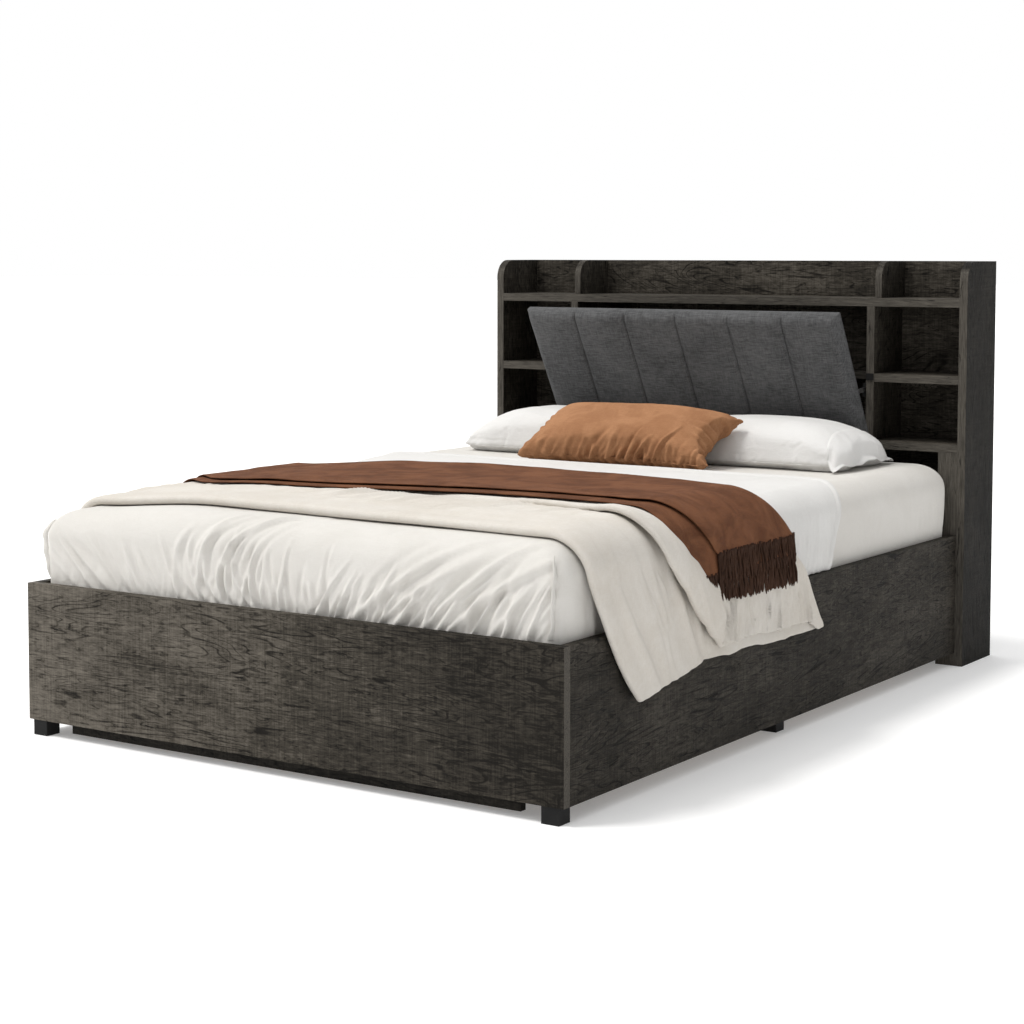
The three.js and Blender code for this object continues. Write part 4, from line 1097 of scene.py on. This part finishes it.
def apply_modifiers(piece):
    graph = bpy.context.evaluated_depsgraph_get()
    made = bpy.data.meshes.new_from_object(piece.evaluated_get(graph))
    materials = [slot.material for slot in piece.material_slots]
    piece.modifiers.clear()
    piece.data = made
    if not made.materials:
        for material in materials:
            made.materials.append(material)


def subdivide(piece):
    levels = piece.modifiers.new("smooth", "SUBSURF")
    levels.levels = levels.render_levels = 1
    apply_modifiers(piece)
    piece.data.polygons.foreach_set("use_smooth", [True] * len(piece.data.polygons))


LUMBAR_FOLDS = {
    "front": fold_strokes([(-0.23, -0.08, 8, 0.40, 0.0, 0.04, 0.10, 0.0046, 0.0050),
                           (-0.09, 0.12, 14, 0.50, 0.0, 0.05, 0.14, 0.0076, 0.0054),
                           (0.06, 0.25, 11, 0.25, 0.0, 0.04, 0.11, 0.0056, 0.0050)], 61),
    "under": fold_strokes([(-0.25, 0.26, 36, 0.15, 0.0, 0.05, 0.10, 0.0044, 0.0044)], 67),
    "ends": fold_strokes([(-0.11, 0.11, 12, 0.0, 0.0, 0.06, 0.13, 0.0058, 0.0052)], 71),
    "back": fold_strokes([(-0.25, 0.25, 16, -0.2, 0.0, 0.02, 0.05, 0.0022, 0.0060)], 73),
}
PILLOW_FOLDS = {
    "front": fold_strokes([(-0.28, 0.28, 18, 0.25, 0.0, 0.02, 0.07, 0.0015, 0.0060)], 81),
    "under": fold_strokes([(-0.28, 0.28, 22, 0.1, 0.0, 0.02, 0.05, 0.0012, 0.0060)], 83),
    "ends": fold_strokes([(-0.17, 0.17, 11, 0.0, 0.0, 0.04, 0.12, 0.0022, 0.0080)], 87),
    "back": fold_strokes([(-0.28, 0.28, 14, -0.2, 0.0, 0.02, 0.06, 0.0014, 0.0070)], 89),
}


def pucker(piece, form, folds, seed):
    """Folds that run in from the seams and fade, and a few long soft creases, but nothing below the sheet."""
    amount = form["pucker"]
    points = read_vertices(piece.data)
    half_x, half_y = form["width"] / 2, form["depth"] / 2
    x, y, z = points.T
    above = np.maximum(z, 0)
    relief = fold_relief(x, (y + half_y) * 0.7 + above, folds["front"], 0.012) * (z > -0.001)
    relief = relief + fold_relief(x, (half_y - y) * 0.7 + above, folds["back"], 0.012) * (z > -0.001)
    relief = relief + fold_relief(x, (y + half_y) * 0.5 - np.minimum(z, 0), folds["under"], 0.012) * (z < 0.001)
    relief = relief + fold_relief(y, (half_x - np.abs(x)) * 0.7 + np.abs(z), folds["ends"], 0.012)
    gap_x, gap_y = half_x - np.abs(x), half_y - np.abs(y)
    from_corner = np.hypot(gap_x, gap_y)
    turn = np.arctan2(gap_y + 0.02, gap_x + 0.02) * 7.0 + np.sign(x) * 3 + np.sign(y) * 7
    relief = relief + amount * ridges(turn, from_corner / 0.3, seed) * np.exp(-from_corner / 0.08)
    relief = relief + 0.5 * amount * noise(x / 0.09, y / 0.07, seed + 9)
    relief = relief + 0.5 * amount * ridges((y + 0.3 * x) / 0.035, x / 0.30, seed + 4) * (z > 0.02)
    moved = points + read_vertices(piece.data, "normal") * relief[:, None]
    moved[:, 2] = np.maximum(moved[:, 2], -form["height"] * form["under"] - 0.0012)
    write_points(piece.data, moved)


def seam_loop(piece, form, material, closed_end):
    """Sewn seam all round a pillow, as a thin tube that lies on its rim."""
    rim = BVHTree.FromObject(piece, bpy.context.evaluated_depsgraph_get())
    t = np.linspace(0, 4, SEAM_POINTS, endpoint=False)
    x = np.select([t < 1, t < 2, t < 3], [2 * t - 1, 1 + 0 * t, 5 - 2 * t], -1.0)
    y = np.select([t < 1, t < 2, t < 3], [-1 + 0 * t, 2 * t - 3, 1 + 0 * t], 7 - 2 * t)
    centre = np.stack([*pillow_plan(form, x, y, 0.0, closed_end), 0 * t], -1)
    for index, place in enumerate(centre):
        inward = Vector(-place).normalized()
        hit = rim.ray_cast(Vector(place * 1.3), inward)[0]
        if hit is not None:
            centre[index] = np.array(hit) + np.array(inward) * 0.0003
    for _ in range(2):
        centre = (np.roll(centre, 1, 0) + 2 * centre + np.roll(centre, -1, 0)) / 4
    up = np.array([0, 0, 1.0])
    aside = unit(np.cross(unit(np.roll(centre, -1, 0) - np.roll(centre, 1, 0)), up))
    here = np.arange(SEAM_POINTS)
    following = (here + 1) % SEAM_POINTS
    rings, faces = [], []
    for side in range(SEAM_SIDES):
        angle = 2 * math.pi * side / SEAM_SIDES
        rings.append(centre + (aside * math.cos(angle) + up * math.sin(angle)) * SEAM_THREAD)
        this, other = side * SEAM_POINTS, ((side + 1) % SEAM_SIDES) * SEAM_POINTS
        faces.append(np.stack([this + here, other + here, other + following, this + following], -1))
    return add_piece(piece.name + "_seam", np.array(rings), np.concatenate(faces), material, join=0)


def add_pillow(name, node, form, place, material, folds, seed, closed_end=0):
    points, faces = shell(*pillow_grid(form, 45, 33, 0.004, closed_end, RIM))
    piece = add_piece(name, points, faces, material, body=None, join=SAME_POINT)
    inflate(piece, form["cap"])
    subdivide(piece)
    pucker(piece, form, folds, seed)
    for each in (piece, seam_loop(piece, form, material, closed_end)):
        write_points(each.data, place_points(read_vertices(each.data), place))
    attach(piece, BED)
    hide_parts(node)
    return piece


def add_case_end(piece, form, place, material, side):
    """Open end of a pillowcase: a loose hem that falls from the pillow's end to the sheet."""
    rows, columns = 26, 44
    surface = BVHTree.FromObject(piece, bpy.context.evaluated_depsgraph_get())
    across = np.linspace(-1, 1, columns)[None, :]
    out = np.linspace(0, 1, rows)[:, None]
    x = side * form["width"] / 2 * lerp(0.66 + 0.08 * across ** 2, 0.935 - 0.05 * across ** 2, out)
    y = form["depth"] / 2 * lerp(0.72, 1.02, out ** 0.7) * across + 0 * x
    points = place_points(np.stack([x, y, 0 * x], -1).reshape(-1, 3), place).reshape(rows, columns, 3)
    low = np.array(place)[2, 3] - form["height"] * form["under"] + 0.0016
    tops = np.full((rows, columns), low)
    for row, column in np.ndindex(rows, columns):
        spot = points[row, column]
        hit = surface.ray_cast(Vector((spot[0], spot[1], spot[2] + 0.3)), Vector((0, 0, -1)))[0]
        if hit is not None:
            tops[row, column] = max(low, hit.z + 0.0062 * smooth(row / (rows - 1), 0.0, 0.25) - 0.0040)
    hem = low + 0.010 * (1 - across ** 2) + 0.004 * (1 + np.sin(7.0 * across + 1.0)) * (1 - across ** 8)
    fall = lerp(tops[:1], hem, out ** 0.75) - 0.05 * np.abs(across) ** 6 * out * (1 - out)
    ripple = 0.0016 * np.sin(19 * across + 3 * out) * out
    points[..., 2] = np.maximum(tops, fall) + ripple + 0.0010 * smooth(out, 0.86, 0.92)
    add_piece(piece.name + "_case_end", *thick_sheet(points, 0.0020), material, slot="white_cotton", join=0)


def add_pillows(white, rust):
    for label, side in (("left", -1), ("right", 1)):
        low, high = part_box("pillow_" + label)
        middle = (low + high) / 2
        seam_z = low.z + PILLOW["height"] * PILLOW["under"] + SEAM / 2
        place = Matrix.Translation((middle.x, middle.y, seam_z))
        piece = add_pillow("sleeping_pillow_" + label, "pillow_" + label, PILLOW, place, white,
                           PILLOW_FOLDS, 201 + 40 * (side + 1), side)
        if side > 0:
            add_case_end(piece, PILLOW, place, white, side)
    low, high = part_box("lumbar_pillow")
    middle = (low + high) / 2
    tilt = Matrix.Rotation(math.radians(LUMBAR_TILT), 4, "X")
    turned = place_points(np.concatenate([grid.reshape(-1, 3) for grid in pillow_grid(LUMBAR, 33, 25)]), tilt)
    centre = (turned.min(0) + turned.max(0)) / 2
    place = Matrix.Translation((middle.x - centre[0], middle.y - centre[1], low.z - turned[:, 2].min())) @ tilt
    add_pillow("lumbar_cushion", "lumbar_pillow", LUMBAR, place, rust, LUMBAR_FOLDS, 307)


# ---------------------------------------------------------------- upholstered back rest
# Before it is placed, the back rest stands upright on its hinge, with Y from its front to its back
PIVOT = (0.0, 0.8654, 0.5584)
PANEL_TILT = 30.0
PANEL_HALF = 0.475
PANEL_LOW = 0.0036
PANEL_HIGH = 0.4306
BOARD_BACK = -0.0024
BOARD_FRONT = -0.0144
PAD_FRONT = -0.0384
CHANNELS = 6
PAD_SKIN = 0.0022
PAD_ROUND, PAD_FOOT_ROUND, PAD_SEAM_END = 0.026, 0.016, 0.012
PAD_EDGE_DEPTH = 0.0055
PAD_SEAM_DEPTH = 0.0088
CHANNEL_COLUMNS, PAD_ROWS = 26, 66
STITCH_PITCH, STITCH_LENGTH, STITCH_RADIUS, STITCH_SIDES = 0.0070, 0.0058, 0.0008, 5


def to_world(points):
    place = Matrix.Translation(PIVOT) @ Matrix.Rotation(math.radians(PANEL_TILT), 4, "X")
    return place_points(points.reshape(-1, 3), place).reshape(points.shape)


def channel_height(x):
    """How full the padding is, from 0 in a seam to 1 in the middle of a channel."""
    share = (x + PANEL_HALF) / (2 * PANEL_HALF) * CHANNELS
    bow = 2 * np.abs(share - np.floor(share) - 0.5)
    return (1 - bow ** 8) ** 0.42


def rounded(distance, reach):
    """Rise of a round edge, from 0 at the edge to 1 at the given reach from it."""
    share = np.clip(distance / reach, 0, 1)
    return np.sqrt(share * (2 - share))


def pad_front():
    """Front of the cover as a grid, with its columns crowded at the seams and its rows at both ends."""
    offsets = np.linspace(-1, 1, CHANNEL_COLUMNS + 1)
    offsets = np.sign(offsets) * (1 - (1 - np.abs(offsets)) ** 1.5)
    columns = np.concatenate([(index + (offsets[:-1] + 1) / 2) for index in range(CHANNELS)] + [[CHANNELS]])
    x_line = (columns / CHANNELS * 2 - 1) * PANEL_HALF
    share = np.linspace(0, 1, PAD_ROWS)
    share = share - 0.12 * np.sin(2 * math.pi * share) / (2 * math.pi) * 2
    z_line = PANEL_LOW + (PANEL_HIGH - PANEL_LOW) * share
    x, z = np.meshgrid(x_line, z_line)
    edge = rounded(PANEL_HALF - np.abs(x), PAD_ROUND) * rounded(PANEL_HIGH - z, PAD_ROUND)
    edge = edge * rounded(z - PANEL_LOW, PAD_FOOT_ROUND)
    seam = 1 - channel_height(x)
    pulled = 0.0009 * noise(x / 0.05, z / 0.022, 401) * seam + 0.0008 * noise(x / 0.09, z / 0.12, 403)
    depth = PAD_EDGE_DEPTH + (BOARD_FRONT - PAD_FRONT - PAD_EDGE_DEPTH) * edge
    depth = depth - PAD_SEAM_DEPTH * seam * rounded(PANEL_HIGH - z, PAD_SEAM_END) + pulled * edge
    return np.stack([x, BOARD_FRONT - np.maximum(depth, 0.0012), z], -1)


def add_pad(material, thread_and_seam_shade):
    """Cover over the padding: it rounds over the board's top and sides and turns in at its back."""
    front = pad_front()
    rows, columns = front.shape[:2]
    flat = front.reshape(-1, 3)
    rim = border(rows, columns)
    edge = flat[rim]
    out = np.zeros_like(edge)
    out[:, 0] = np.where(np.abs(np.abs(edge[:, 0]) - PANEL_HALF) < 1e-6, np.sign(edge[:, 0]), 0)
    out[:, 2] = np.where(edge[:, 2] > PANEL_HIGH - 1e-6, 1.0, 0.0)
    out = unit(out)
    wrapped = np.linalg.norm(out, axis=1) > 0.5
    stages = ((0.5 * PAD_SKIN, edge[:, 1] * 0.55 + BOARD_FRONT * 0.45), (PAD_SKIN, BOARD_FRONT),
              (PAD_SKIN, (BOARD_FRONT + BOARD_BACK) / 2), (0.9 * PAD_SKIN, BOARD_BACK),
              (0.0003, BOARD_BACK), (0.0003, BOARD_FRONT + 0.0003))
    loops, faces = [flat], [grid_faces(rows, columns, flip=True)]
    previous, first = rim, len(flat)
    for offset, depth in stages:
        ring = edge + out * offset
        ring[:, 1] = np.where(wrapped, depth, np.minimum(depth, BOARD_FRONT - 0.0002))
        loops.append(ring)
        current = np.arange(len(rim)) + first
        faces.append(rim_faces(previous, current))
        previous = current
        first += len(rim)
    loops.append(np.array([[0.0, BOARD_FRONT - 0.0002, (PANEL_LOW + PANEL_HIGH) / 2]]))
    fan = np.stack([previous, np.full(len(rim), first), np.roll(previous, -1)], -1)
    piece = add_piece("back_rest_upholstery", to_world(np.concatenate(loops)),
                      [face for group in (*faces, fan) for face in group], material,
                      slot="linen", body=BACK_REST, join=SAME_POINT)
    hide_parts("panel_pad")
    add_stitches(front, thread_and_seam_shade)


def add_stitches(front, material):
    """A row of stitches in the bottom of each seam, over the front and the rounded top edge. Their near-black
    thread colour also paints the shade in the bottom of the seams.
    """
    points, faces, first = [], [], 0
    for seam in range(1, CHANNELS):
        line = front[:, seam * CHANNEL_COLUMNS].copy()
        line[:, 1] -= 0.0003
        places = distances(line)
        for begin in np.arange(0.01, places[-1] - 0.01, STITCH_PITCH):
            for share, size, sink in ((0.0, 0.4, 0.0005), (0.3, 1.0, 0.0), (0.7, 1.0, 0.0), (1.0, 0.4, 0.0005)):
                centre = point_on(line, places, begin + STITCH_LENGTH * share)
                centre[1] += sink
                for side in range(STITCH_SIDES):
                    angle = 2 * math.pi * side / STITCH_SIDES
                    spoke = np.array([math.cos(angle), math.sin(angle), 0.0])
                    points.append(centre + spoke * STITCH_RADIUS * size)
            around = np.arange(STITCH_SIDES) + first
            faces += [*grid_faces(4, STITCH_SIDES, first, wrap=True), around[::-1], around + 3 * STITCH_SIDES]
            first += 4 * STITCH_SIDES
    add_piece("back_rest_stitches", to_world(np.array(points)), faces, material,
              slot="linen", body=BACK_REST, join=0)


# ---------------------------------------------------------------- fitted sheet's corner seams
def add_corner_seams(material):
    """Pinched seam that stands out of each foot corner of the fitted sheet and curls at its lower end."""
    profile, ups = mattress_profile()
    t = np.linspace(0, 1, 60)
    path = lerp(0.004, ARC * 0.45 + np.interp(SHOULDER_Z, profile[:28, 1], ups[:28]), t)
    outset, z = (np.interp(path, ups, profile[:, index]) for index in (0, 1))
    radius = corner_radius(outset)
    ends = np.sin(math.pi * np.clip(t, 0.02, 0.98)) ** 0.4
    stand = 0.0100 * ends * (1 + 0.12 * np.sin(19 * t))
    curl = 0.0065 * ends + 0.010 * smooth(0.16 - t, 0.0, 0.16)
    wander = 0.0022 * np.sin(4.4 * t + 0.5) + 0.0007 * np.sin(23 * t)
    for label, side, degrees in (("left", -1, -30), ("right", 1, -58)):
        angle = math.radians(degrees)
        out = np.array([side * math.cos(angle), math.sin(angle), 0.0])
        along = np.array([-math.sin(angle) * side, math.cos(angle), 0.0]) * -side
        plan = np.stack([side * (HALF + outset - radius), FOOT_EDGE - outset + radius, z], -1)
        base = plan + out * (radius - 0.003)[:, None] + along * wander[:, None]
        layers = [base + out * (share * (0.003 + stand))[:, None] + along * (share ** 2 * curl)[:, None]
                  for share in np.linspace(0, 1, 8)]
        add_piece("sheet_corner_seam_" + label, *thick_sheet(settled(np.array(layers)), 0.0026), material,
                  slot="white_cotton", join=0)


# ---------------------------------------------------------------- floor
def add_floor():
    shader = Shader("studio_floor")
    cloud = shader.noise(0.8, detail=2.0)
    color = shader.mix(cloud, rgba((0.86, 0.86, 0.86)), rgba((0.88, 0.88, 0.88)))
    material = shader.finish({"Base Color": color, "Roughness": 0.9, "Emission Color": rgba((1.0, 1.0, 1.0)),
                              "Emission Strength": FLOOR_GLOW})
    size = FLOOR_HALF
    corners = [(-size, -size, 0), (size, -size, 0), (size, size, 0), (-size, size, 0)]
    add_piece("floor", corners, [(0, 1, 2, 3)], material, body=None)


add_camera()
add_key_light()
add_sky()
add_floor()
finish_cad_nodes()

WHITE = cloth("white_cotton_plain", (0.685, 0.666, 0.632), (0.63, 0.608, 0.57), 60.0, 0.0011, 0.25, 0.25)
QUILTED = cloth("white_cotton_quilt", (0.72, 0.712, 0.695), (0.66, 0.650, 0.632), 70.0, 0.0012, 0.30, 0.25)
PILLOW_WHITE = cloth("white_cotton_pillow", (0.74, 0.732, 0.718), (0.68, 0.670, 0.652), 60.0, 0.0010, 0.25, 0.2)
CREAM = cloth("cream_cotton_blanket", (0.665, 0.634, 0.588), (0.575, 0.532, 0.470), 75.0, 0.0013, 0.40, 0.35,
              sheen=0.12)
WOOL = cloth("rust_wool_throw", (0.188, 0.078, 0.037), (0.088, 0.033, 0.015), 55.0, 0.0016, 0.45, 0.75,
             sheen=0.14, bump=0.0011, patch=11.0, mottle=1.3)
FRINGE = cloth("rust_wool_fringe", (0.072, 0.036, 0.022), (0.020, 0.010, 0.007), 90.0, 0.0012, 0.45, 0.60,
               sheen=0.15, bump=0.0008)
RUST = cloth("rust_cotton_brushed", (0.42, 0.214, 0.108), (0.28, 0.128, 0.060), 55.0, 0.0012, 0.45, 0.60,
             sheen=0.18, bump=0.0008, patch=13.0, mottle=0.7)
LINEN = cloth("linen_charcoal", (0.132, 0.133, 0.135), (0.040, 0.0405, 0.042), 44.0, 0.0015, 0.85, 0.45,
              sheen=0.10, bump=0.0009)
# Near-black stitch thread: partly the thread's own dark colour, partly painted shade of the seam grooves
STITCH_THREAD_AND_SEAM_SHADE = cloth("linen_thread_and_painted_seam_shade", (0.014, 0.014, 0.015), (0.006, 0.006, 0.007), 80.0, 0.0008, 0.4, 0.3, sheen=0.1)

add_mattress(WHITE)
add_corner_seams(WHITE)
add_quilt(QUILTED)
add_blanket(CREAM)
add_throw(WOOL, FRINGE)
add_pillows(PILLOW_WHITE, RUST)
add_pad(LINEN, STITCH_THREAD_AND_SEAM_SHADE)
